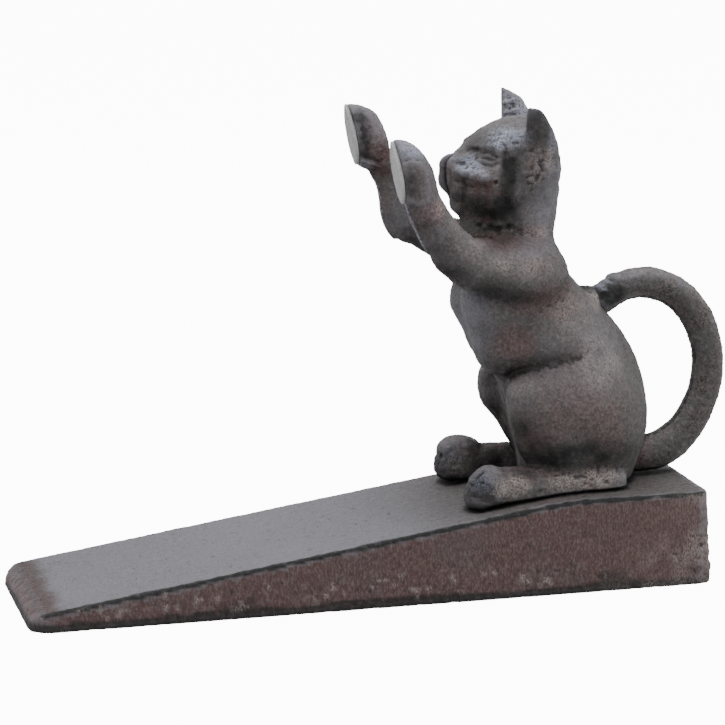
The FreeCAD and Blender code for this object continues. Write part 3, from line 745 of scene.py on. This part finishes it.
def weather(points, quads, normals, rough, seed, paint):
    """Give a skin its cast roughness, and work out the masks that its material reads."""
    bumps = 0.5 * noise(points, 5.2, seed) + 0.35 * noise(points, 2.3, seed + 1)
    grain = 0.5 * noise(points, 1.1, seed + 2) + 0.3 * noise(points, 0.62, seed + 3)
    flat_lumps = noise(points * np.array([0.6, 1, 1.3]), 1.2, seed + 12)
    lumps = 0.6 * noise(points, 2.0, seed + 11) + 0.6 * flat_lumps
    lift = rough * (bumps + grain) + 0.42 * patches(points, LUMPY_SPOTS) * lumps
    points = points + normals * lift[:, None]
    fine = points - neighbour_mean(points, quads, 6)
    broad = points - neighbour_mean(points, quads, 40)
    ridge = np.clip(np.sum(fine * normals, 1) / RIDGE_HEIGHT, -1, 1)
    crest = np.clip(np.sum(broad * normals, 1) / CREST_HEIGHT, -1, 1)
    # painted occlusion shade: how closed in each point is, measured a little off the surface; the
    # material darkens the colour by it
    shelter = 0
    for reach in PAINTED_OCCLUSION_REACHES:
        x, y, z = (points + normals * reach).T
        shelter = shelter + 0.5 * np.clip(1 - whole_object((x, y, z)) / reach, 0, 1)
    masks = {"ridge": ridge, "crest": crest}
    # the painted glints stay bright where the painted occlusion shade would darken them
    painted = paint(points, normals, seed)
    masks["shelter"] = shelter * (1 - 0.75 * np.clip(painted["frost"], 0, 1))
    masks.update(painted)
    return points, masks


def patches(points, spots):
    """The strongest of a set of soft spots: x, outward y, z, three radii and strength."""
    total = np.zeros(len(points))
    for x, y, z, rx, ry, rz, strength in spots:
        far = ((points[:, 0] - x) / rx) ** 2 + ((np.abs(points[:, 1]) - y) / ry) ** 2
        far = far + ((points[:, 2] - z) / rz) ** 2
        total = np.maximum(total, strength * np.exp(-far * far))
    return total


LUMPY_SPOTS = [
    (128.6, 10.5, 118.6, 6, 8, 5, 1),
    (119.6, 7, 109.6, 5.6, 6, 4, 1),
    (122.4, 7, 113.8, 4, 6, 2.8, 0.6),
    (119.6, 7, 103.2, 4.4, 6, 4.6, 0.5),
    (134.8, 13, 109.5, 3.8, 6, 7, 1),
    (124, 10, 95.6, 7, 6, 1.6, 0.7),
    (121, 16, 27, 6, 8, 6, 1),
    (126, 15, 31, 4, 8, 3, 0.6),
    (144, 19, 28.4, 24, 4, 4, 0.6),
    (158, 0, 75.6, 6, 8, 5, 1.3),
    (101, 16, 113, 5, 8, 8, 0.5),
    (HEEL_X, 24, 6, 3, 8, 12, 1.3),
]
# Painted sheen: cool grey-blue highlights where the light falls on the head, the ears, the paws, the
# toes, the chest, the shoulder and the haunch.
COOL_SHEEN_SPOTS = [
    (129, 10.5, 118.8, 4.2, 5, 3.8, 1),
    (119.4, 6.5, 110.6, 3.8, 5, 2.2, 0.9),
    (115.6, 2, 112.4, 2.6, 3, 1.6, 0.7),
    (100.5, 16, 118.2, 4.6, 5, 3, 0.55),
    (121.6, 16, 29, 5, 5, 4, 0.35),
    (135.5, 10, 122.5, 5, 2.4, 6, 0.9),
    (139.8, 11, 118, 1.8, 4, 5.5, 0.6),
    (140, 8, 103, 7.6, 9, 11, 0.85),
    (134, 13, 90, 7, 8, 3, 0.4),
    (106.6, 17, 94, 4, 6, 7, 0.3),
    (151, 12, 62, 9, 9, 10, 0.42),
    (130, 12, 50, 3, 7, 6, 0.2),
    (122.4, 6, 72, 5, 7, 11, 1),
    (144, 13, 60, 10, 7, 7, 0.3),
]
# Painted glints: bright blue-white highlights on the temple, the muzzle, the toes, the chest and the
# ears.
PAINTED_GLINT_SPOTS = [
    (127.4, 10.5, 119.2, 5.4, 6, 3.2, 0.9),
    (119.2, 6.5, 111.4, 3.2, 5, 2.4, 0.75),
    (120, 16, 29.6, 3.6, 6, 3.4, 0.2),
    (121.4, 8, 109.6, 2.4, 5, 1.6, 0.6),
    (121.6, 5, 75, 2.2, 6, 7, 0.4),
    (135.8, 10.2, 123.6, 5, 2.2, 6, 0.4),
    (139.8, 11, 119, 1.2, 4, 5, 0.35),
]
RUST_SPOTS = [
    (122.6, 9, 103, 5.8, 7, 6.8, 1.4),
    (124.5, 11, 91.4, 9, 7, 2.8, 1.3),
    (136.5, 10, 93.6, 5, 6, 2, 0.8),
    (104.4, 16, 100, 4, 5, 5, 0.8),
    (138, 14, 76, 12, 8, 5.5, 0.8),
    (129, 14, 66, 7, 8, 5.4, 0.8),
    (145, 14, 46, 15, 9, 15, 0.75),
    (136, 15, 31, 12, 8, 2.4, 0.8),
    (136, 12, 110, 3.8, 5, 6, 0.8),
    (103, 16, 108, 5, 6, 5, 0.4),
]
# Black patches: dark in the brow, the eye and the joint of the tail, and painted shadow behind the edge
# of the face, inside the near ear, under the muzzle, in the neck crease, under the shoulder, under the
# thigh and round the toes.
BLACK_PATINA_AND_SHADE_SPOTS = [
    (122.4, 6, 116.4, 5.2, 7, 3.2, 0.6),
    (123.8, 8, 112.6, 4.4, 5, 2.6, 0.3),
    (128.6, 12.5, 111.6, 2.7, 5, 4.6, 1),
    (127.4, 12.5, 107.4, 3, 5, 4.6, 1),
    (126.4, 12, 103.4, 3.4, 5, 5, 1),
    (127, 12, 99.6, 4.4, 5, 3.8, 0.95),
    (130.2, 13, 115.2, 3.4, 5, 2.2, 0.8),
    (128.2, 11, 97.6, 4.6, 6, 2.4, 0.6),
    (134.2, 16, 119.6, 5, 4.6, 7.6, 0.85),
    (109.6, 14, 86.4, 9, 7, 4, 0.6),
    (121.4, 8, 103.2, 5.4, 7, 5.6, 0.68),
    (125, 12, 92, 10, 7, 2.4, 0.5),
    (104, 16, 97, 4, 6, 4, 0.3),
    (118.2, 10, 94, 1.6, 4, 1.2, 0.9),
    (153.8, 0, 77.2, 3.2, 8, 1.1, 0.9),
    (157, 0, 72, 2.4, 8, 3, 0.6),
    (141, 12, 61, 8, 7, 1.8, 0.2),
    (134, 13, 109, 4.4, 6, 6.6, 0.5),
    (125, 14, 78.6, 14, 8, 3.2, 0.35),
    (145, 14, 36, 17, 9, 5, 1.05),
    (131, 14, 40, 3, 8, 6, 0.5),
    (120.6, 15, 26.8, 5, 6, 5, 0.95),
    (134, 17, 31, 9, 8, 1.6, 0.6),
]
# Pale warm specks; the band along the upper arm is a painted highlight where the light catches it.
PALE_SPOTS = [
    (111.6, 15, 97, 2.4, 6, 5, 0.6),
    (116, 15, 90.6, 4, 6, 4, 0.8),
    (123, 15, 86.8, 7, 6, 3, 0.9),
    (132, 14, 85.4, 8, 6, 3.2, 0.8),
    (136.6, 10, 94, 4.4, 6, 1.8, 0.7),
    (153.6, 4, 73.4, 4, 6, 2.4, 0.8),
    (146, 13, 72, 7, 6, 6, 0.5),
    (152, 14, 60, 8, 8, 10, 0.5),
    (149.6, 19, 28.4, 11.6, 4, 3, 1.3),
    (128, 19, 28, 5, 4, 3, 1.1),
    (130, 15, 55, 4, 5, 3.4, 0.7),
    (134.8, 13, 110.4, 2.8, 5, 6.4, 0.5),
    (139, 12, 113.6, 1.8, 4, 4, 0.6),
]


# Patches that only one side of the figure has.
OWN_SPOTS = {}
OWN_SPOTS[FIGURE_SEED[LEFT]] = {
    "cool": [(101.6, 16, 116.4, 5, 6, 3, 0.9), (104.4, 18, 108, 2.4, 6, 7, 0.45)],
    "rust": [(105.4, 18, 101.6, 3.6, 6, 3.6, 1.2)],
    "soot": [(100.8, 18, 110, 3, 6, 3.4, 0.55), (108.6, 18, 92, 4, 6, 6, 0.3)],
    "pale": [(107.6, 17, 102, 1.8, 6, 3.6, 0.7), (102.6, 18, 110.6, 2.4, 6, 3, 0.35)],
    "frost": [(100, 16, 117.4, 3.4, 6, 2.4, 0.6)],
}
OWN_SPOTS[FIGURE_SEED[RIGHT]] = {
    "cool": [(96.4, 14, 109.4, 1.6, 5, 2.4, 0.8), (106, 14, 98, 5, 6, 6, 0.4)],
    "rust": [(101, 14, 116, 4.6, 6, 9, 1.3), (101, 14, 109, 3.6, 6, 3, 1.4)],
    "soot": [
        (96.4, 12, 114.6, 2, 5, 4.6, 0.55),
        (94.6, 13, 122, 2.6, 5, 1.6, 0.6),
        (101.4, 13, 108.6, 3, 5, 2.4, 0.4),
        (131.4, 14, 28, 6.4, 8, 6, 0.8),
    ],
    "pale": [
        (100.2, 14, 116.4, 2.6, 6, 4.6, 0.4),
        (122, 14, 27, 3, 8, 3, 0.6),
        (136.6, 10, 123, 6, 4, 7, 1),
    ],
    "frost": [(136.4, 10, 123, 5.6, 3.6, 7, 0.7)],
}


def paint_figure(points, normals, seed):
    """Where the figure's patina is rusty, black or speckled pale, and where painted sheen, painted
    glints and painted shade lie.
    """
    own = OWN_SPOTS[seed]
    broad = noise(points, 9.0, seed + 5)
    mottle = noise(points, 3.4, seed + 6)
    upward = fade(normals[:, 2], -0.2, 0.9)
    # painted sheen: cool highlights in the listed spots and a little on every face that looks up
    cool = patches(points, COOL_SHEEN_SPOTS + own["cool"]) * (0.85 + 0.35 * mottle) + 0.08 * upward
    rust = patches(points, RUST_SPOTS + own["rust"]) + 0.3 * broad
    soot = patches(points, BLACK_PATINA_AND_SHADE_SPOTS + own["soot"]) * (0.9 + 0.35 * mottle)
    # painted shade on faces that look down
    soot = soot + 0.35 * fade(-normals[:, 2], 0.1, 0.8)
    # painted shade on the sides of the hind legs that face each other
    inward = fade(-normals[:, 1] * np.sign(points[:, 1]), 0, 0.7)
    inward = inward * fade(60 - points[:, 2], 0, 6) * fade(points[:, 2], 33, 38)
    soot = soot + 0.45 * inward * (1 + 0.4 * mottle)
    pale = patches(points, PALE_SPOTS + own["pale"]) * (0.8 + 0.5 * mottle)
    # painted highlights: a bright line where the chest lip and the leg fin catch the light, and painted
    # sheen on the tips of the forepaws
    lip = np.exp(-((points[:, 1] / 0.9) ** 2)) * fade(130 - points[:, 0], -2, 4)
    lip = lip * fade(86 - points[:, 2], 0, 3)
    fin = np.exp(-(((np.abs(points[:, 1]) - PAW_Y) / 0.6) ** 2)) * fade(-normals[:, 0], 0, 0.5)
    fin = fin * fade(106 - points[:, 0], 0, 3) * fade(107 - points[:, 2], 0, 3)
    toe_tips = fade(np.abs(points[:, 1]), 10, 13) * fade(points[:, 2] - 0.4 * points[:, 0], 74, 76.5)
    toe_tips = toe_tips * fade(108 - points[:, 0], 0, 3)
    cool = cool + 0.8 * lip + 0.8 * fin + 0.4 * toe_tips
    pale = pale + 1.6 * lip + 1.6 * fin
    # painted glints in the listed spots and along the lip and the fin
    frost = patches(points, PAINTED_GLINT_SPOTS + own["frost"]) * (0.9 + 0.3 * mottle) + lip + 0.8 * fin
    return {"cool": cool, "rust": rust, "soot": soot, "pale": pale, "frost": frost}


def paint_tail(points, normals, seed):
    mottle = noise(points, 3.0, seed + 6)
    upward = fade(normals[:, 2], 0, 0.9) * fade(points[:, 2], 60, 78)
    # the sides of the bar are blacker than its rubbed edges
    stripe = fade(np.abs(normals[:, 1]) + 0.15 * mottle, 0.7, 0.98)
    root = patches(points, [(165.0, 0.0, 31.5, 7.0, 8.0, 5.0, 1.0)])
    joint = patches(points, [(159.4, 0.0, 75.4, 4.0, 8.0, 4.0, 0.6)])
    # painted sheen and painted glints on the faces that look up, where the painted shade is also lighter
    return {
        "cool": 0.35 * upward,
        "rust": root + 0.2 * mottle,
        "soot": 0.15 + 0.3 * mottle - 0.15 * upward - 0.3 * root + joint + 0.3 * stripe,
        "pale": 0.12 + 0.28 * mottle - joint,
        "frost": 0.3 * fade(163 - points[:, 0], 0, 6) * fade(normals[:, 2], 0.3, 0.9),
    }


def paint_wedge(points, normals, seed):
    x, y, z = points.T
    broad = noise(points, 14.0, seed + 5)
    mottle = noise(points, 4.0, seed + 6)
    ragged = noise(points * np.array([1, 0.2, 0.2]), 2.4, seed + 7)
    top = fade(normals[:, 2], 0.75, 0.97)
    # painted shade on the nose, where it curves away from the overhead light: browner and darker, with
    # no sheen
    nose = fade(11 + 2 * mottle - x, 0, 5)
    side = 1 - fade(np.abs(normals[:, 2]), 0.3, 0.7)
    rim = length(np.maximum(HALF_WIDTH - np.abs(y), 0), top_height(x) - z)
    line = fade(0.95 + 0.3 * ragged + 0.15 * mottle - rim, -0.4, 0.3) * fade(x, 0, 3)
    foot = fade(2.6 + 0.5 * mottle + 0.8 * broad - z, -0.4, 0.4) * side
    smudge = fade(broad + 0.4 * mottle, 0.35, 0.8) * fade(9 - z, 0, 5) * side
    soot = np.maximum(np.maximum(line, 0.75 * foot), 0.6 * smudge) + 0.35 * top * nose
    flecks = fade(noise(points, 1.5, seed + 8), 0.35, 0.6) * fade(mottle, -0.2, 0.4)
    pale = flecks * side * fade(8.5 - np.abs(z - 5.5) * 2, 0, 4) * 0.9
    heel = side * fade(x + 0.8 * (12 - z), 152, 176) * (0.5 + 0.6 * mottle)
    # painted sheen on the top faces, fading into a painted shadow of the figure near its feet
    sheen_fading_into_shadow = (0.8 + 0.06 * broad + 0.12 * fade(x, 25, 70)) * fade(112 - x, -14, 24)
    return {
        "cool": top * (1 - 0.85 * nose) * sheen_fading_into_shadow,
        "rust": side + nose + 0.25 * broad,
        "soot": soot,
        "pale": np.maximum(pale, 0.75 * heel),
        "frost": 0 * x,
    }


# How far the cast roughness stands out, in millimetres.
FIGURE_ROUGHNESS, TAIL_ROUGHNESS, WEDGE_ROUGHNESS = 0.16, 0.22, 0.13
# The grids' cells, in millimetres.
FIGURE_CELL = 0.4
WEDGE_CELL = 0.7
PAD_CELL = 0.2


def make_half(name, side):
    def half(p):
        d = overlap(figure(p, side), -p[1] * side - 0.02, 1)
        d = overlap(d, SOLE_GAP - (p[2] - top_height(p[0])) * RAMP_COS, 0.9)
        return overlap(d, -screw_recess(p), 0.8) if side == RIGHT else d

    low_y, high_y = sorted((27 * side, -1.5 * side))
    low, high = (90, low_y, 19), (176, high_y, 131)
    points, quads, normals = skin(half, low, high, FIGURE_CELL)
    seed = FIGURE_SEED[side]
    points, masks = weather(points, quads, normals, FIGURE_ROUGHNESS, seed, paint_figure)
    return build_mesh(name, points, quads, masks)


def make_tail(name):
    low, high = (148.0, -8.0, 22.0), (196.0, 8.0, 86.0)
    points, quads, normals = skin(tail, low, high, FIGURE_CELL)
    points, masks = weather(points, quads, normals, TAIL_ROUGHNESS, TAIL_SEED, paint_tail)
    return build_mesh(name, points, quads, masks)


def make_pad(name, side):
    x, z = PAD_MIDDLE[side]
    reach = (3.0, 5.4, 9.4)
    middle = (x, PAW_Y * side, z)

    def pad(p):
        out, across, along = pad_frame(p, side)
        half = PAD_THICK / 2
        outline = leaf(across, along, PAD_HALF_WIDTH, PAD_HALF_LENGTH)
        return overlap(outline, np.abs(out + half) - half, 0.4)

    low = tuple(middle[i] - reach[i] for i in range(3))
    high = tuple(middle[i] + reach[i] for i in range(3))
    points, quads, normals = skin(pad, low, high, PAD_CELL)
    fuzz = 0.04 * noise(points, 0.5, PAD_SEED) + 0.05 * noise(points, 1.6, PAD_SEED + 1)
    points = points + normals * fuzz[:, None]
    return build_mesh(name, points, quads, {})


def make_wedge(name):
    low = (-2.0, -HALF_WIDTH - 2, -2.0)
    high = (HEEL_X + 2, HALF_WIDTH + 2, PLATEAU + 2)
    points, quads, normals = skin(wedge, low, high, WEDGE_CELL)
    points, masks = weather(points, quads, normals, WEDGE_ROUGHNESS, WEDGE_SEED, paint_wedge)
    points[:, 2] = np.maximum(points[:, 2], 0)
    return build_mesh(name, points, quads, masks)


# ---- materials
class Shader:
    """A material's node tree, with short ways to add the few kinds of node that it uses."""

    def __init__(self, name):
        self.material = bpy.data.materials.new(name)
        self.material.use_nodes = True
        self.tree = self.material.node_tree
        self.bsdf = self.tree.nodes["Principled BSDF"]
        place = self.tree.nodes.new("ShaderNodeTexCoord").outputs["Object"]
        scale = self.tree.nodes.new("ShaderNodeVectorMath")
        scale.operation = "SCALE"
        scale.inputs["Scale"].default_value = 1 / MM
        self.tree.links.new(place, scale.inputs[0])
        self.place = scale.outputs[0]

    def put(self, value, socket):
        if isinstance(value, bpy.types.NodeSocket):
            self.tree.links.new(value, socket)
        elif isinstance(value, tuple):
            socket.default_value = (*value, 1)
        else:
            socket.default_value = value

    def mask(self, name):
        node = self.tree.nodes.new("ShaderNodeAttribute")
        node.attribute_name = name
        return node.outputs["Fac"]

    def noise(self, size, detail=3.0, roughness=0.6, stretch=None):
        """Noise whose lumps are about `size` millimetres, drawn out along an axis if asked."""
        place = self.place
        if stretch:
            mapping = self.tree.nodes.new("ShaderNodeVectorMath")
            mapping.operation = "MULTIPLY"
            mapping.inputs[1].default_value = stretch
            self.tree.links.new(place, mapping.inputs[0])
            place = mapping.outputs[0]
        node = self.tree.nodes.new("ShaderNodeTexNoise")
        node.inputs["Scale"].default_value = 1 / size
        node.inputs["Detail"].default_value = detail
        node.inputs["Roughness"].default_value = roughness
        self.tree.links.new(place, node.inputs["Vector"])
        return node.outputs["Fac"]

    def math(self, kind, a, b=0.0, clamp=False):
        node = self.tree.nodes.new("ShaderNodeMath")
        node.operation = kind
        node.use_clamp = clamp
        self.put(a, node.inputs[0])
        self.put(b, node.inputs[1])
        return node.outputs[0]

    def span(self, value, low, high, to_low=0.0, to_high=1.0):
        node = self.tree.nodes.new("ShaderNodeMapRange")
        node.interpolation_type = "SMOOTHSTEP"
        for socket, setting in zip(node.inputs, (value, low, high, to_low, to_high)):
            self.put(setting, socket)
        return node.outputs[0]

    def mix(self, share, a, b, kind="MIX"):
        node = self.tree.nodes.new("ShaderNodeMix")
        node.data_type = "RGBA"
        node.blend_type = kind
        node.clamp_factor = True
        self.put(share, node.inputs[0])
        self.put(a, node.inputs[6])
        self.put(b, node.inputs[7])
        return node.outputs[2]

    def bump(self, height, depth, strength):
        """Depth is the height in millimetres between the noise's 0 and 1."""
        node = self.tree.nodes.new("ShaderNodeBump")
        node.inputs["Distance"].default_value = depth * MM
        node.inputs["Strength"].default_value = strength
        self.tree.links.new(height, node.inputs["Height"])
        self.tree.links.new(node.outputs["Normal"], self.bsdf.inputs["Normal"])

    def finish(self, colour, roughness, metallic=0.0, specular=0.5):
        self.put(colour, self.bsdf.inputs["Base Color"])
        self.put(roughness, self.bsdf.inputs["Roughness"])
        self.bsdf.inputs["Metallic"].default_value = metallic
        self.bsdf.inputs["Specular IOR Level"].default_value = specular
        return self.material


def cast_iron(name, crest_wear, stretch=None):
    """Black-brown cast iron with a dark patina; the masks say where it is worn, rusty, black or speckled
    pale, and where painted sheen, painted glints and painted shade lie.
    """
    s = Shader(name)
    fine = s.noise(0.8, 5.0, 0.75, stretch)
    speck = s.span(fine, 0.44, 0.62)
    coarse = s.noise(2.2, 4.0, 0.6, stretch)
    broad = s.noise(11.0, 2.0, 0.5)
    brownness = s.math("ADD", s.mask("rust"), s.math("MULTIPLY", s.math("SUBTRACT", broad, 0.5), 0.8))
    base = s.mix(brownness, GREY_PATINA, BROWN_PATINA)
    base = s.mix(s.span(coarse, 0.35, 0.7, 0.0, 0.35), base, DEEP_PATINA)
    base = s.mix(s.math("MULTIPLY", speck, 0.6), base, WARM_SPECK)
    # painted sheen: cool grey-blue highlights
    cool = s.math("MULTIPLY", s.mask("cool"), s.span(fine, 0.3, 0.62, 0.45, 1.0), clamp=True)
    base = s.mix(cool, base, WORN_AND_SHEEN_GREY)
    grain = s.noise(0.5, 3.0, 0.65, stretch)
    ridge_wear = s.span(s.mask("ridge"), 0.3, 1.0, 0.0, 0.4)
    worn = s.math("MAXIMUM", ridge_wear, s.span(s.mask("crest"), 0.5, 1.0, 0.0, crest_wear))
    base = s.mix(worn, base, WORN_AND_SHEEN_GREY)
    # black patina together with painted shade
    soot = s.math("MULTIPLY", s.mask("soot"), s.span(coarse, 0.25, 0.55, 0.8, 1.1), clamp=True)
    base = s.mix(soot, base, PATINA_AND_SHADE_BLACK)
    # pale specks, with painted highlights where the mask carries them
    pale = s.math("MULTIPLY", s.mask("pale"), s.span(grain, 0.38, 0.62), clamp=True)
    base = s.mix(pale, base, PALE_SPECK_AND_HIGHLIGHT)
    # painted glints: blue-white highlights
    frost = s.math("MULTIPLY", s.mask("frost"), s.span(grain, 0.42, 0.58), clamp=True)
    base = s.mix(frost, base, PAINTED_GLINT_BLUE)
    hollow = s.span(s.mask("ridge"), -0.9, -0.2, 0.7, 0.0)
    base = s.mix(hollow, base, PATINA_AND_SHADE_BLACK)
    # painted occlusion shade: darker where the surface is closed in
    base = s.mix(s.span(s.mask("shelter"), 0.45, 1.0, 0.0, 0.9), base, PATINA_AND_SHADE_BLACK)
    rough = s.span(coarse, 0.3, 0.7, 0.42, 0.62)
    s.bump(s.math("ADD", fine, s.math("MULTIPLY", coarse, 1.5)), 0.3, 1.0)
    return s.finish(base, rough, specular=0.25)


def zinc_steel(name):
    """Bright zinc plating with faint dulled patches."""
    s = Shader(name)
    cloud = s.noise(2.5, 3.0)
    fine = s.noise(0.3, 3.0)
    base = s.mix(s.span(cloud, 0.35, 0.7), ZINC, DULL_ZINC)
    s.bump(fine, 0.02, 0.5)
    return s.finish(base, s.span(cloud, 0.3, 0.7, 0.3, 0.45), metallic=1.0)


def grey_felt(name):
    """A pressed felt with short fibres."""
    s = Shader(name)
    fibre = s.noise(0.35, 5.0, 0.75)
    cloud = s.noise(3.0, 2.0)
    base = s.mix(s.span(fibre, 0.3, 0.7), FELT_SHADE, PALE_FELT)
    base = s.mix(s.span(cloud, 0.4, 0.8, 0.0, 0.4), base, FELT_CLOUD)
    s.bump(fibre, 0.15, 0.8)
    return s.finish(base, 0.95, specular=0.1)


GREY_PATINA = (0.092, 0.092, 0.094)
BROWN_PATINA = (0.104, 0.058, 0.056)
DEEP_PATINA = (0.036, 0.031, 0.032)
WARM_SPECK = (0.19, 0.15, 0.14)
# a worn grey for rubbed ridges and crests, also used for the painted sheen
WORN_AND_SHEEN_GREY = (0.21, 0.208, 0.238)
PALE_SPECK_AND_HIGHLIGHT = (0.34, 0.29, 0.27)
# the blue-white of the painted glints
PAINTED_GLINT_BLUE = (0.36, 0.4, 0.53)
# black for the patina, the hollows and the painted shade
PATINA_AND_SHADE_BLACK = (0.012, 0.013, 0.0125)
ZINC, DULL_ZINC = (0.5, 0.5, 0.49), (0.36, 0.36, 0.35)
PALE_FELT, FELT_SHADE, FELT_CLOUD = (0.66, 0.67, 0.66), (0.38, 0.39, 0.38), (0.34, 0.35, 0.35)
FIGURE_IRON = cast_iron("antique_iron_figure", 0.35)
WEDGE_IRON = cast_iron("antique_iron_wedge", 0.0, (1.5, 1.5, 0.7))
STEEL = zinc_steel("zinc_plated_steel")
FELT = grey_felt("grey_felt")


# ---- pieces
def finish_piece(piece, material, node):
    piece.data.materials.append(material)
    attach(piece, "root")
    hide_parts(node)


finish_piece(make_half("cat_left_half_cast", LEFT), FIGURE_IRON, "cat_left_half")
finish_piece(make_half("cat_right_half_cast", RIGHT), FIGURE_IRON, "cat_right_half")
finish_piece(make_tail("tail_cast"), FIGURE_IRON, "tail")
finish_piece(make_wedge("wedge_cast"), WEDGE_IRON, "wedge_base")
finish_piece(make_pad("left_paw_felt", LEFT), FELT, "left_paw_pad")
finish_piece(make_pad("right_paw_felt", RIGHT), FELT, "right_paw_pad")
FASTENERS = ("base_screws", "base_washers", "clamp_screw")
for item in bpy.data.objects:
    if item.type == "MESH" and item.name.startswith(FASTENERS):
        item.data.materials.clear()
        item.data.materials.append(STEEL)


# ---- stage, lights and camera
PAPER, PAPER_GLOW, FLOOR_REACH = (0.4, 0.4, 0.4), 12.0, 6.0


def bright_backdrop(name):
    """Pale paper that glows white to the camera alone, so that the glow doesn't light the object."""
    s = Shader(name)
    s.bsdf.inputs["Base Color"].default_value = (*PAPER, 1)
    s.bsdf.inputs["Roughness"].default_value = 0.9
    seen = s.tree.nodes.new("ShaderNodeLightPath").outputs["Is Camera Ray"]
    s.tree.links.new(s.math("MULTIPLY", seen, PAPER_GLOW), s.bsdf.inputs["Emission Strength"])
    s.bsdf.inputs["Emission Color"].default_value = (1, 1, 1, 1)
    return s.material


def make_floor():
    mesh = bpy.data.meshes.new("floor")
    r = FLOOR_REACH
    mesh.from_pydata([(-r, -r, 0), (r, -r, 0), (r, r, 0), (-r, r, 0)], [], [(0, 1, 2, 3)])
    floor = bpy.data.objects.new("floor", mesh)
    bpy.context.scene.collection.objects.link(floor)
    mesh.materials.append(bright_backdrop("pale_floor"))


def area_light(name, place, aim, size, power):
    light = bpy.data.lights.new(name, "AREA")
    light.shape = "RECTANGLE"
    light.size, light.size_y = size
    light.energy = power
    lamp = bpy.data.objects.new(name, light)
    bpy.context.scene.collection.objects.link(lamp)
    lamp.location = place
    lamp.rotation_euler = (Vector(aim) - Vector(place)).to_track_quat("-Z", "Y").to_euler()


# Turn from square on towards the cat's front and rise in degrees, distance in metres, lens in
# millimetres, and the point looked at in millimetres.
CAMERA_TURN, CAMERA_RISE, CAMERA_DISTANCE, CAMERA_LENS = 14.7, 12.17, 0.7856, 149.33
AIM_X, AIM_Z = 92.51, 59.44


def make_camera():
    """The view from the cat's left, a little from before it and a little from above."""
    turn, rise = math.radians(CAMERA_TURN), math.radians(CAMERA_RISE)
    aim = Vector((AIM_X * MM + TIP_X * MM, 0, AIM_Z * MM))
    forward = Vector((math.sin(turn) * math.cos(rise), math.cos(turn) * math.cos(rise), -math.sin(rise)))
    camera = bpy.data.cameras.new("camera")
    camera.sensor_width = 36
    camera.lens = CAMERA_LENS
    camera.clip_start = 0.05
    holder = bpy.data.objects.new("camera", camera)
    bpy.context.scene.collection.objects.link(holder)
    holder.location = aim - forward * CAMERA_DISTANCE
    holder.rotation_euler = forward.to_track_quat("-Z", "Y").to_euler()
    bpy.context.scene.camera = holder


make_floor()
make_camera()
area_light("overhead", (-0.1, 0.1, 0.9), (0, 0, 0.05), (1.2, 1.2), 15)
area_light("front_fill", (-0.7, -1.0, 0.5), (0, 0, 0.06), (0.9, 0.9), 3)
area_light("right_fill", (1.0, -0.4, 0.5), (0, 0, 0.06), (0.7, 0.7), 6.5)
world = bpy.data.worlds.new("studio")
world.use_nodes = True
world.node_tree.nodes["Background"].inputs["Color"].default_value = (1, 1, 1, 1)
world.node_tree.nodes["Background"].inputs["Strength"].default_value = 0.35
bpy.context.scene.world = world
